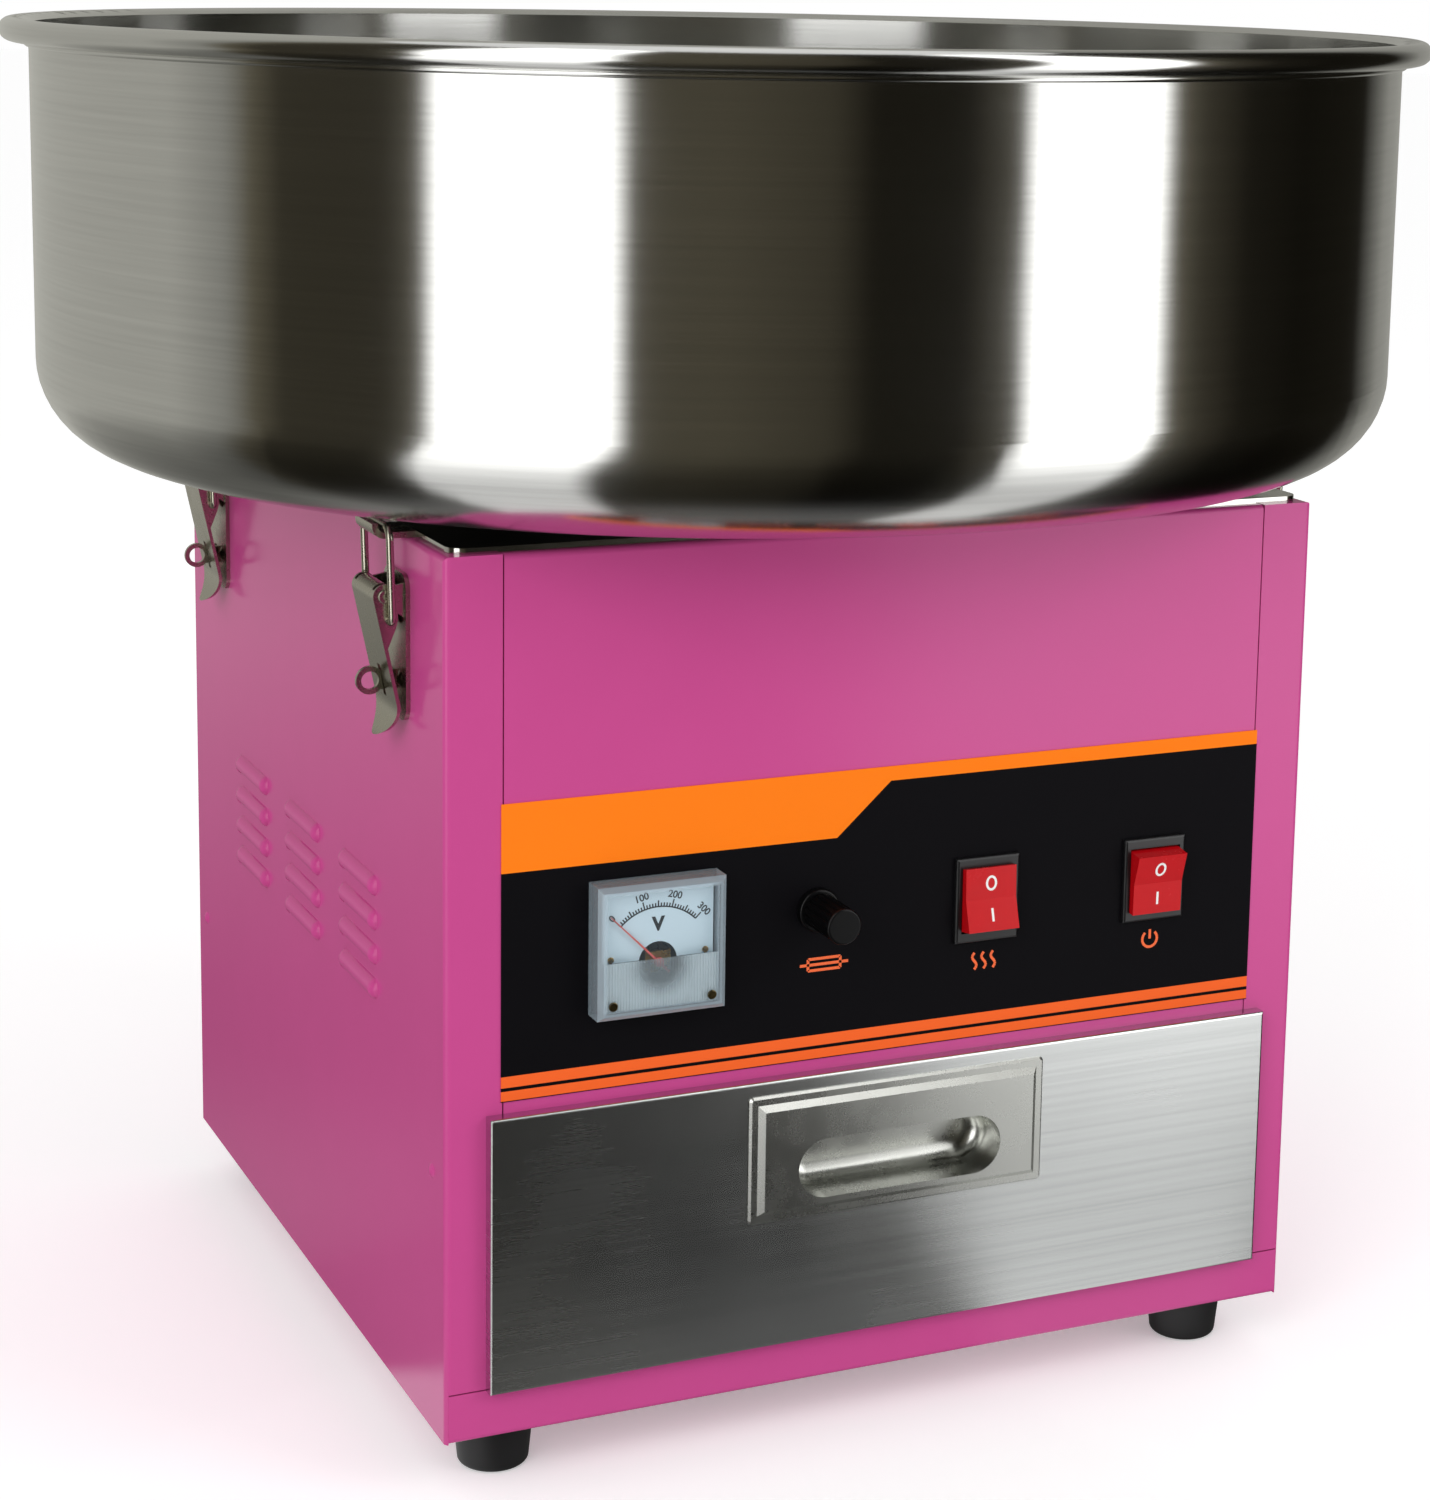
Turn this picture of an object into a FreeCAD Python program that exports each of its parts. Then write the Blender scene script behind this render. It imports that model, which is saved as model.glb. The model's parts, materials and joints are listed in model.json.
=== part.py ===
import FreeCAD, Part

import math
import os

# Electric candy floss machine: a sheet-steel cabinet with a drawer and a control panel, and a
# wide stainless bowl on top that four toggle latches hold down. All sizes are in millimetres.
# +Z is up and the origin is on the table, under the bowl's axis. The front faces -Y.

V = FreeCAD.Vector
X_AXIS = V(1, 0, 0)
Y_AXIS = V(0, 1, 0)
Z_AXIS = V(0, 0, 1)

# ---------------------------------------------------------------- driving dimensions
# Clearances
running_fit = 0.05        # radial, a pin or shaft in its hole
free_gap = 0.3            # between pieces that move past each other
seam_gap = 0.5            # between neighbouring panels
overrun = 1.0             # how far a cutter passes the face it opens

# Cabinet
cabinet_width = 322.0
cabinet_depth = 326.0
cabinet_height = 297.5
sheet = 1.2
bend_radius = 2.0
side_flange = 19.5
return_lip = 10.0
tray_lip = 17.0

# Feet
foot_height = 20.0
foot_top_radius = 14.0
foot_bottom_radius = 12.0
foot_edge_radius = 2.0
foot_inset = 25.0
foot_recess_radius = 5.5
foot_recess_depth = 12.0
foot_screw_radius = 2.0
foot_screw_head_radius = 4.0
foot_screw_head = 2.5
foot_screw_tail = 3.0

# Louvres in each side panel
louvre_columns = 3
louvre_rows = 4
louvre_length = 42.0
louvre_pitch_y = 70.5
louvre_pitch_z = 12.2
louvre_first_y = 94.0      # first column's centre, from the cabinet's front
louvre_top_z = 170.0       # top row's centre, from the cabinet's bottom
louvre_radius = 4.0
louvre_rise = 2.6
louvre_mouth = 1.4         # how far below its centre the louvre is cut open

# Pop rivets near the side panels' edges
side_rivet_inset = 13.7
side_rivet_height = 90.7
rivet_radius = 1.6
rivet_head_radius = 2.6
rivet_head = 1.1

# Drawer
drawer_seam_cover = 6.0    # the drawer front's side beyond the front panel's edge
drawer_front_height = 95.0
drawer_front_depth = 5.0
drawer_box_margin = 6.0    # the box's side inside the front panel's edge
drawer_box_height = 78.0
drawer_rear_room = 43.8    # behind the box, for the mains inlet and the terminals
drawer_box_sheet = 1.0
drawer_box_rise = 7.0      # the box's bottom above the drawer front's lower edge
drawer_opening_gap = 3.0
drawer_corner = 1.0

# Flush pull in the drawer front
pull_width = 112.0
pull_height = 45.0
pull_height_above_tray = 67.8
pull_flange = 1.2
pull_flange_bevel = 0.8
pull_rise = 3.2
pull_border = 3.0
pull_corner = 1.5
pull_recess_width = 77.0
pull_recess_height = 21.0
pull_recess_drop = 5.0
pull_recess_depth = 16.0
pull_wall = 1.2
pull_cup_round = 6.0       # inside, where the cup's side meets its bottom

# Drawer runners
runner_ledge = 12.0
runner_web = 38.0
runner_foot_gap = 4.0      # from the runner's end to the foot screw
runner_side_gap = 1.2

# Control plate
plate_overlap = 1.0        # the plate's side beyond the front panel's edge
plate_height = 100.0
plate_bottom = 116.0       # above the cabinet's bottom
plate_thickness = 0.4

# Voltmeter
meter_inset = 52.5         # its middle from the plate's left edge
meter_z = 164.7            # above the cabinet's bottom
meter_size = 45.0
meter_base_size = 43.0
meter_base_thickness = 2.0
meter_depth = 10.0
meter_wall = 1.5
meter_bevel = 1.6
meter_barrel_radius = 19.0
meter_barrel_length = 25.0
meter_barrel_wall = 1.5
dial_width = 39.0
dial_top = 19.0
dial_bottom = -4.5
dial_thickness = 0.6
dial_setback = 5.2         # the dial's face behind the cover's outer face
dial_arch_radius = 6.8
dial_post_inset = 3.2      # from the card's side edges
dial_post_drop = 2.2       # below the meter's middle
needle_pivot_drop = 5.5
needle_length = 24.0
needle_tail = 5.0
needle_width = 0.9
needle_tip_width = 0.3
needle_thickness = 0.5
needle_gap = 0.9           # the needle in front of the dial
needle_hub_radius = 1.6
needle_arbor_radius = 0.6
needle_rest_angle = 45.0   # left of upright
movement_width = 9.0
movement_height = 7.0
movement_depth = 9.0
movement_coil_radius = 3.6
movement_coil_length = 3.0
movement_leg = 2.0

# Fuse holder
fuse_inset = 112.0         # its middle from the plate's left edge
fuse_z = 169.0             # above the cabinet's bottom
fuse_collar_radius = 7.5
fuse_collar = 3.0
fuse_barrel_radius = 6.0
fuse_barrel_length = 34.0
fuse_bore_radius = 3.9
fuse_cap_radius = 6.2
fuse_cap_length = 19.0
fuse_cap_flutes = 16
fuse_flute_radius = 0.6
fuse_flute_start = 1.6     # behind the cap's face
fuse_cap_edge = 0.8
fuse_stem_length = 7.0
fuse_radius = 2.6
fuse_length = 20.0
fuse_ferrule_length = 5.0
fuse_ferrule_step = 0.15
fuse_grip = 12.0           # length of fuse held in the cap

# Rocker switches
heat_switch_inset = 108.0  # their middles from the plate's right edge
power_switch_inset = 41.5
switch_z = 166.0           # above the cabinet's bottom
bezel_width = 24.4
bezel_height = 30.4
bezel_thickness = 2.0
bezel_corner = 1.0
switch_body_width = 21.8
switch_body_height = 27.8
switch_body_depth = 24.0
rocker_width = 19.4
rocker_height = 22.0
rocker_end = 6.4           # from the pivot out to the rocker's ends
rocker_dip = 1.4           # the middle of its face below its ends
rocker_back = 3.0
rocker_swing = 9.0         # either way from the middle, in degrees
rocker_pivot_depth = 2.5   # pivot behind the bezel's face
trunnion_radius = 1.2
trunnion_length = 0.8

# Bowl, its seat plate, hooks and gasket
bowl_radius = 249.8
bowl_rim_overhang = 10.2   # the roll's outside beyond the wall
bowl_sheet = 1.0
bowl_height = 153.2
bowl_corner = 33.0
bowl_hole_radius = 62.0
bowl_collar = 9.0
rim_height = 8.2
rim_ring_height = 2.4
rim_ring_rise = 1.8
rim_ring_lift = 0.55       # the ring's top above the roll's underside
rim_inner_drop = 2.2
rim_crown_drop = 0.4
seat_thickness = 2.0
seat_inset = 3.0
seat_corner = 6.0
seat_hole_radius = 75.0
gasket_height = 6.5
gasket_outer_radius = 138.0
gasket_inner_radius = 120.0
bowl_screw_radius = 2.5
bowl_screw_head_radius = 4.5
bowl_screw_head = 2.5
bowl_screw_circle = 129.0

# Toggle latches: drops are below the cabinet's top, "out" is away from the side panel
latch_inset = 47.0         # from the cabinet's front or rear
latch_base_width = 24.0
latch_base_top_drop = 12.0
latch_base_height = 49.0
latch_plate = 1.5
latch_plate_corner = 5.0
latch_pivot_out = 8.5
latch_pivot_drop = 18.5
latch_pin_radius = 1.5
latch_pin_head = 0.7
latch_pin_head_radius = 2.3
latch_pin_dimple_radius = 1.0
ear_radius = 2.4
ear_thickness = 1.2
ear_rise = 4.0
ear_drop = 9.0
lever_plate = 1.2
lever_inner = 2.7          # from the pivot to the inside of the lever's face
lever_length = 36.0        # straight part of the face, below the pivot
lever_tilt = 12.2
lever_cheek = 1.2
lever_cheek_depth = 1.2    # along the lever's straight part
cheek_knee_out = 1.35      # the cheek's bend under the bail's hole
cheek_knee_drop = 2.7
cheek_step_drop = 17.2     # below the pivot, where the cheek turns narrow
lever_wrap_edge = 45.0
lever_wrap_middle = 115.0
paddle_radius = 12.0
paddle_angle = 65.0
bail_arm = 8.6
bail_wire_radius = 1.25
bail_cross_out = 7.6
bail_corner = 4.0
bail_foot_bend = 1.8
eye_out = 10.2
eye_drop = 48.5
eye_radius = 4.7
eye_hole_radius = 3.0
eye_thickness = 1.6
eye_neck = 6.4
eye_slot_gap = 0.6         # beside the eye in the lever's slot
eye_slot_end_gap = 0.9
latch_rivet_spread = 5.5
latch_rivet_drops = (26.5, 47.5)
keeper_width = 19.0
hook_clearance = 1.0
hook_lip = 0.8

# Motor and its rubber-bushed plate
deck_hole_radius = 60.0
stud_spread = 62.0
stud_radius = 3.0
stud_length = 75.0
stud_nut_radius = 5.5
stud_nut_height = 5.0
motor_plate_drop = 62.0
motor_plate_size = 150.0
motor_plate_thickness = 3.0
bush_radius = 9.0
bush_neck_radius = 6.0
bush_flange = 3.0
motor_radius = 55.0
motor_height = 90.0
motor_wall = 4.0
motor_edge = 4.0
motor_end = 8.0
stator_bore = 30.0
stator_height = 52.0
rotor_gap = 0.6
rotor_height = 46.0
shaft_radius = 6.0
shaft_tail = 6.0

# Slip rings and brushes
hub_radius = 15.0
hub_height = 38.0
hub_lift = 9.0             # hub's bottom above the motor plate
ring_radius = 19.0
ring_height = 8.0
ring_offset = 6.0
ring_pitch = 16.0
brush_width = 6.0
brush_height = 5.0
brush_length = 14.0
brush_out = 4.7            # length of brush between its holder and the slip ring
holder_depth = 20.0
holder_width = 16.0
holder_margin = 4.0

# Spinner head in the bowl
head_radius = 80.0
head_lift = 11.0           # head's underside above the bowl's floor
head_hub_radius = 14.0
head_hub_height = 24.0
head_disc = 3.0
head_lip_height = 7.0
head_wall = 3.0
head_cover = 4.0           # metal left over the shaft's end
band_height = 40.0
band_wall = 1.5
band_slots = 48
band_slot_width = 1.6
band_slot_margin = 7.0
element_radius = 68.0
element_wire_radius = 4.0
element_height = 27.0      # element's centre above the head's disc
element_posts = 4
element_post_radius = 3.0
cap_overhang = 1.5
cap_disc = 3.0
cap_throat_radius = 20.0
cap_collar = 8.0
cap_spigot = 5.0

# Rear panel
inlet_inset = 71.0         # its middle from the cabinet's right side
inlet_z = 60.0             # above the cabinet's bottom
inlet_width = 30.0
inlet_height = 23.0
inlet_flange = 3.0
inlet_rim = 4.0
inlet_depth = 20.0
inlet_socket_width = 24.0
inlet_socket_height = 16.0
inlet_socket_depth = 15.0
inlet_pin_radius = 1.3
inlet_pin_length = 11.0
inlet_pin_pitch = 7.0
inlet_pin_lift = 1.75      # the middle pin above and the others below the middle
vent_slots = 7
vent_column_x = 60.0
vent_pitch = 12.0
vent_length = 60.0
vent_width = 4.0
vent_bottom = 150.0

# Mains terminals on the tray
terminal_ways = 6
terminal_pitch = 10.0
terminal_depth = 20.0
terminal_height = 16.0
terminal_screw_radius = 2.6
terminal_screw_depth = 4.0
terminal_inset = 21.0      # its middle from the cabinet's rear

# ---------------------------------------------------------------- places worked out from them
side_x = cabinet_width / 2
front_y = -cabinet_depth / 2
rear_y = cabinet_depth / 2
cabinet_bottom = foot_height
cabinet_top = cabinet_bottom + cabinet_height
latch_y = rear_y - latch_inset
terminal_y = rear_y - terminal_inset
panel_half_width = side_x - side_flange - seam_gap
tray_top = cabinet_bottom + tray_lip
drawer_box_width = 2 * (panel_half_width - drawer_box_margin)
drawer_front_width = 2 * (panel_half_width + drawer_seam_cover)
runner_reach = rear_y - foot_inset - foot_screw_radius - runner_foot_gap
plate_width = 2 * (panel_half_width + plate_overlap)
meter_x = meter_inset - plate_width / 2
fuse_x = fuse_inset - plate_width / 2
heat_switch_x = plate_width / 2 - heat_switch_inset
power_switch_x = plate_width / 2 - power_switch_inset
inlet_x = side_x - inlet_inset
deck_top = cabinet_top - sheet
deck_bottom = deck_top - sheet
plate_face = front_y - plate_thickness
seat_top = cabinet_top + seat_thickness
bowl_bottom = seat_top + gasket_height
bowl_floor = bowl_bottom + bowl_sheet
bowl_rim_radius = bowl_radius + bowl_rim_overhang
bowl_top = bowl_bottom + bowl_height
motor_plate_top = deck_bottom - motor_plate_drop
motor_plate_bottom = motor_plate_top - motor_plate_thickness
head_bottom = bowl_floor + head_lift
head_disc_top = head_bottom + head_disc
band_bottom = head_disc_top + head_lip_height
band_top = band_bottom + band_height
shaft_top = head_bottom + head_hub_height - head_cover
drawer_bottom = tray_top
drawer_box_bottom = drawer_bottom + drawer_box_rise
drawer_box_front = front_y - drawer_front_depth + sheet
drawer_box_length = rear_y - drawer_rear_room - drawer_box_front
pull_z = tray_top + pull_height_above_tray
recess_z = pull_z - pull_recess_drop
cheek_outer = latch_base_width / 2
cheek_inner = cheek_outer - lever_cheek
ear_outer = cheek_inner - free_gap
ear_inner = ear_outer - ear_thickness
bail_leg = cheek_outer + latch_pin_head + free_gap + bail_wire_radius
lever_outer = lever_inner + lever_plate
hook_inner = bail_wire_radius + hook_clearance
bail_cross_z = seat_top + hook_inner

LATCHES = {
    "front_left": (-1, -latch_y),
    "rear_left": (-1, latch_y),
    "front_right": (1, -latch_y),
    "rear_right": (1, latch_y),
}


# ---------------------------------------------------------------- helpers
def block(x0, x1, y0, y1, z0, z1):
    """Box between two corners."""
    return Part.makeBox(x1 - x0, y1 - y0, z1 - z0, V(x0, y0, z0))


def centred(width, y0, y1, height, x=0.0, z=0.0):
    """Box of this width and height about (x, z), from y0 to y1."""
    return block(x - width / 2, x + width / 2, y0, y1, z - height / 2, z + height / 2)


def rod(radius, start, end):
    """Cylinder between two points."""
    axis = end - start
    return Part.makeCylinder(radius, axis.Length, start, axis)


def upright(radius, x, y, z0, z1):
    """Cylinder along Z."""
    return rod(radius, V(x, y, z0), V(x, y, z1))


def ring(outer, inner, z0, z1):
    """Tube about the Z axis."""
    return upright(outer, 0, 0, z0, z1).cut(upright(inner, 0, 0, z0 - overrun, z1 + overrun))


def join(shapes):
    """One clean solid from several that touch."""
    return shapes[0].fuse(shapes[1:]).removeSplitter()


def prism(points, direction):
    """Straight extrusion of a closed outline."""
    wire = Part.makePolygon(points + [points[0]])
    return Part.Face(wire).extrude(direction)


def stadium(width, height, y0, y1, x, z):
    """Slot-shaped bar along Y with half-round ends."""
    radius = height / 2
    reach = width / 2 - radius
    middle = centred(2 * reach, y0, y1, height, x, z)
    ends = [rod(radius, V(x + side * reach, y0, z), V(x + side * reach, y1, z)) for side in (-1, 1)]
    return join([middle] + ends)


def edges_where(shape, test):
    """Edges of a shape whose two ends both pass a test."""
    return [edge for edge in shape.Edges if all(test(vertex.Point) for vertex in edge.Vertexes)]


def near(value, target):
    return abs(value - target) < 1e-4


def edges_along(shape, axis):
    """Straight edges of a shape that lie along an axis."""
    spans = [(edge, edge.Vertexes[-1].Point - edge.Vertexes[0].Point) for edge in shape.Edges]
    return [edge for edge, span in spans if near(abs(span.dot(axis)), edge.Length)]


def mirrored_x(shape):
    return shape.mirror(V(0, 0, 0), X_AXIS)


def save(name, shape):
    """Write one node and say what it holds."""
    shape.exportStep("parts/%s.step" % name)
    print("%-26s %3d solid(s) %12.1f mm3" % (name, len(shape.Solids), shape.Volume))


# ---------------------------------------------------------------- cabinet
def base_tray():
    """Floor of the cabinet with a lip all round. The front lip shows below the drawer."""
    half = side_x - sheet
    outer = block(-half, half, front_y, rear_y, cabinet_bottom, tray_top)
    bends = [edge for edge in edges_along(outer, X_AXIS) if near(edge.CenterOfMass.z, cabinet_bottom)]
    outer = outer.makeFillet(bend_radius, bends)
    inner = block(-half + sheet, half - sheet, front_y + sheet, rear_y - sheet,
                  cabinet_bottom + sheet, tray_top + overrun)
    holes = [upright(foot_screw_radius + running_fit, x, y, cabinet_bottom - overrun, tray_top)
             for x, y in foot_places()]
    return outer.cut([inner] + holes)


def louvre_shapes():
    """Outer and inner forms of the right side panel's louvres, and the cutters that open them."""
    outer, inner, mouths = [], [], []
    centre_x = side_x + louvre_rise - louvre_radius
    reach = louvre_length / 2 - louvre_radius
    for column in range(louvre_columns):
        y = front_y + louvre_first_y + column * louvre_pitch_y
        for row in range(louvre_rows):
            z = cabinet_bottom + louvre_top_z - row * louvre_pitch_z
            ends = (V(centre_x, y - reach, z), V(centre_x, y + reach, z))
            for radius, forms in ((louvre_radius, outer), (louvre_radius - sheet, inner)):
                balls = [Part.makeSphere(radius, end) for end in ends]
                forms.append(join([rod(radius, *ends)] + balls))
            mouths.append(block(side_x, side_x + louvre_radius, y - reach, y + reach,
                                z - louvre_radius, z - louvre_mouth))
    return outer, inner, mouths


def side_panel():
    """Right side: wall with front, rear and top flanges, and pressed louvres."""
    inner_x = side_x - side_flange
    outer = block(inner_x, side_x, front_y, rear_y, cabinet_bottom, cabinet_top)
    upper = edges_where(outer, lambda p: near(p.z, cabinet_top) and not near(p.x, inner_x))
    posts = [edge for edge in edges_along(outer, Z_AXIS) if near(edge.CenterOfMass.x, side_x)]
    outer = outer.makeFillet(bend_radius, upper + posts)
    inside = block(inner_x - overrun, side_x - sheet, front_y + sheet, rear_y - sheet,
                   cabinet_bottom - overrun, cabinet_top - sheet)
    tray_room = block(inner_x - overrun, side_x - sheet, front_y - overrun, rear_y + overrun,
                      cabinet_bottom - overrun, tray_top + seam_gap)
    lips = [block(inner_x, inner_x + sheet, min(y, y + turn), max(y, y + turn),
                  tray_top + seam_gap, cabinet_top - sheet)
            for y, turn in ((front_y + sheet, return_lip), (rear_y - sheet, -return_lip))]
    panel = outer.cut([inside, tray_room]).fuse(lips)
    forms, hollows, mouths = louvre_shapes()
    outside = block(side_x - sheet / 2, side_x + louvre_rise + overrun, front_y, rear_y,
                    cabinet_bottom, cabinet_top)
    panel = panel.fuse([form.common(outside) for form in forms]).cut(hollows + mouths)
    holes = [rod(rivet_radius + running_fit, V(side_x - sheet - overrun, y, z), V(side_x + overrun, y, z))
             for y, z in side_rivet_places() + latch_rivet_places()]
    return panel.cut(holes).removeSplitter()


def face_panel(face_y, inward):
    """Front or rear panel: a sheet between the side flanges with its edges folded inward."""
    back_y = face_y + inward * (sheet + return_lip)
    low_z = tray_top + seam_gap
    outer = block(-panel_half_width, panel_half_width, min(face_y, back_y), max(face_y, back_y),
                  low_z, cabinet_top)
    top = edges_where(outer, lambda p: near(p.z, cabinet_top) and near(p.y, face_y))
    outer = outer.makeFillet(bend_radius, top)
    skin_y = face_y + inward * sheet
    far_y = back_y + inward * overrun
    inner = block(-panel_half_width + sheet, panel_half_width - sheet, min(skin_y, far_y),
                  max(skin_y, far_y), low_z + sheet, cabinet_top - sheet)
    return outer.cut(inner)


def panel_cutters(y0, y1):
    """Holes for the meter, fuse holder and switches, through the panel and the plate alike."""
    start = V(0, y0, cabinet_bottom)
    end = V(0, y1, cabinet_bottom)
    meter_at = V(meter_x, 0, meter_z)
    fuse_at = V(fuse_x, 0, fuse_z)
    meter = rod(meter_barrel_radius + free_gap, start + meter_at, end + meter_at)
    fuse = rod(fuse_barrel_radius + free_gap, start + fuse_at, end + fuse_at)
    switches = [centred(switch_body_width + 2 * free_gap, y0, y1, switch_body_height + 2 * free_gap,
                        x, cabinet_bottom + switch_z) for x in (heat_switch_x, power_switch_x)]
    return [meter, fuse] + switches


def front_panel():
    width = drawer_box_width + 2 * drawer_opening_gap
    height = drawer_box_height + 2 * drawer_opening_gap
    y0 = front_y - overrun
    y1 = front_y + sheet + overrun
    opening = centred(width, y0, y1, height, 0, drawer_box_bottom + drawer_box_height / 2)
    return face_panel(front_y, 1).cut([opening] + panel_cutters(y0, y1))


def rear_panel():
    y0 = rear_y - sheet - overrun
    y1 = rear_y + overrun
    inlet = centred(inlet_width + 2 * free_gap, y0, y1, inlet_height + 2 * free_gap,
                    inlet_x, cabinet_bottom + inlet_z)
    vents = [stadium(vent_length, vent_width, y0, y1, side * vent_column_x,
                     cabinet_bottom + vent_bottom + row * vent_pitch)
             for side in (-1, 1) for row in range(vent_slots)]
    return face_panel(rear_y, -1).cut([inlet] + vents)


def top_deck():
    """Sheet under the panels' top flanges. The motor hangs from it."""
    half_x = side_x - sheet
    half_y = rear_y - sheet
    z0 = deck_bottom - overrun
    z1 = deck_top + overrun
    lip_end = half_y - return_lip
    deck = block(-half_x, half_x, -half_y, half_y, deck_bottom, deck_top)
    notch_in = panel_half_width - sheet
    notch_out = side_x - side_flange + sheet
    notches = [block(min(side * notch_in, side * notch_out), max(side * notch_in, side * notch_out),
                     min(end * lip_end, end * rear_y), max(end * lip_end, end * rear_y), z0, z1)
               for side in (-1, 1) for end in (-1, 1)]
    return deck.cut(notches + [upright(deck_hole_radius, 0, 0, z0, z1)])


def control_plate():
    """Printed plate stuck on the front panel."""
    low = cabinet_bottom + plate_bottom
    plate = block(-plate_width / 2, plate_width / 2, plate_face, front_y, low, low + plate_height)
    return plate.cut(panel_cutters(plate_face - overrun, front_y + overrun))


def foot_places():
    x = side_x - foot_inset
    y = rear_y - foot_inset
    return [(-x, -y), (x, -y), (-x, y), (x, y)]


def foot(x, y):
    """Tapered rubber foot with a recess for its screw."""
    cone = Part.makeCone(foot_bottom_radius, foot_top_radius, foot_height, V(x, y, 0), Z_AXIS)
    cone = cone.makeFillet(foot_edge_radius, edges_where(cone, lambda p: near(p.z, 0)))
    recess = upright(foot_recess_radius, x, y, -overrun, foot_recess_depth)
    hole = upright(foot_screw_radius + running_fit, x, y, 0, foot_height + overrun)
    return cone.cut([recess, hole])


def foot_screw(x, y):
    head = upright(foot_screw_head_radius, x, y, foot_recess_depth - foot_screw_head, foot_recess_depth)
    shank = upright(foot_screw_radius, x, y, foot_recess_depth - foot_screw_head,
                    foot_height + sheet + foot_screw_tail)
    return join([head, shank])


def side_rivet_places():
    z = cabinet_bottom + side_rivet_height
    return [(front_y + side_rivet_inset, z), (rear_y - side_rivet_inset, z)]


def latch_rivet_places():
    return [(side * latch_y + spread, cabinet_top - drop)
            for side in (-1, 1)
            for spread in (-latch_rivet_spread, latch_rivet_spread)
            for drop in latch_rivet_drops]


def rivet(face_x, y, z):
    """Domed rivet through the right side panel, seated on a face at face_x."""
    shank = rod(rivet_radius, V(side_x - sheet, y, z), V(face_x, y, z))
    ball_radius = (rivet_head_radius ** 2 + rivet_head ** 2) / (2 * rivet_head)
    ball = Part.makeSphere(ball_radius, V(face_x + rivet_head - ball_radius, y, z))
    dome = ball.common(rod(rivet_head_radius, V(face_x, y, z), V(face_x + rivet_head, y, z)))
    return join([shank, dome])


# ---------------------------------------------------------------- drawer
def drawer_front():
    """Stainless pan that covers the opening and overlaps the panel seams."""
    y0 = front_y - drawer_front_depth
    top = drawer_bottom + drawer_front_height
    half = drawer_front_width / 2
    outer = block(-half, half, y0, front_y, drawer_bottom, top)
    outer = outer.makeFillet(drawer_corner, edges_where(outer, lambda p: near(p.y, y0)))
    inner = block(-half + sheet, half - sheet, y0 + sheet, front_y + overrun,
                  drawer_bottom + sheet, top - sheet)
    return outer.cut([inner, pull_hole()])


def pull_hole():
    """Hole for the pull's cup, through the drawer front and the box's front wall."""
    width = pull_recess_width + 2 * (pull_wall + free_gap)
    height = pull_recess_height + 2 * (pull_wall + free_gap)
    return stadium(width, height, front_y - drawer_front_depth - overrun,
                   drawer_box_front + drawer_box_sheet + overrun, 0, recess_z)


def drawer_box():
    """Open-topped box behind the drawer front."""
    half = drawer_box_width / 2
    back = drawer_box_front + drawer_box_length
    top = drawer_box_bottom + drawer_box_height
    wall = drawer_box_sheet
    outer = block(-half, half, drawer_box_front, back, drawer_box_bottom, top)
    inner = block(-half + wall, half - wall, drawer_box_front + wall, back - wall,
                  drawer_box_bottom + wall, top + overrun)
    return outer.cut([inner, pull_hole()])


def pull_cup(margin, y0, y1):
    """Slot-shaped cup or its hollow, rounded at the bottom. The hollow has no margin."""
    form = stadium(pull_recess_width + 2 * margin, pull_recess_height + 2 * margin, y0, y1, 0, recess_z)
    bottom = edges_where(form, lambda p: near(p.y, y1))
    return form.makeFillet(pull_cup_round + margin, bottom)


def drawer_pull():
    """Flush pull: a stepped and bevelled plate with a cup for the fingers."""
    face = front_y - drawer_front_depth
    flange = centred(pull_width, face - pull_flange, face, pull_height, 0, pull_z)
    flange = flange.makeFillet(pull_corner, edges_along(flange, Y_AXIS))
    rim = edges_where(flange, lambda p: near(p.y, face - pull_flange))
    flange = flange.makeChamfer(pull_flange_bevel, rim)
    raised = centred(pull_width - 2 * pull_border, face - pull_rise, face,
                     pull_height - 2 * pull_border, 0, pull_z)
    bevels = edges_where(raised, lambda p: near(p.y, face - pull_rise))
    raised = raised.makeChamfer(pull_rise - pull_flange, bevels)
    cup = pull_cup(pull_wall, face, face + pull_recess_depth)
    hollow = pull_cup(0, face - pull_rise - overrun, face + pull_recess_depth - pull_wall)
    return join([flange, raised, cup]).cut(hollow)


def drawer_runner():
    """Right-hand rail on the tray, with a ledge under the drawer box."""
    web_x = drawer_box_width / 2 + runner_side_gap
    floor = cabinet_bottom + sheet
    ledge_top = drawer_box_bottom - free_gap
    y0 = -runner_reach
    y1 = runner_reach
    web = block(web_x, web_x + sheet, y0, y1, floor, floor + runner_web)
    ledge = block(web_x - runner_ledge, web_x, y0, y1, ledge_top - sheet, ledge_top)
    foot_strip = block(web_x + sheet, web_x + runner_ledge, y0, y1, floor, floor + sheet)
    return join([web, ledge, foot_strip])


# ---------------------------------------------------------------- voltmeter
def meter_body():
    """Black base behind the clear cover, with its barrel through the panel."""
    z = cabinet_bottom + meter_z
    base = centred(meter_base_size, plate_face - meter_base_thickness, plate_face,
                   meter_base_size, meter_x, z)
    end = plate_face + meter_barrel_length
    barrel = rod(meter_barrel_radius, V(meter_x, plate_face, z), V(meter_x, end, z))
    hollow = rod(meter_barrel_radius - meter_barrel_wall,
                 V(meter_x, plate_face - meter_base_thickness - overrun, z),
                 V(meter_x, end - meter_barrel_wall, z))
    return join([base, barrel]).cut(hollow)


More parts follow.
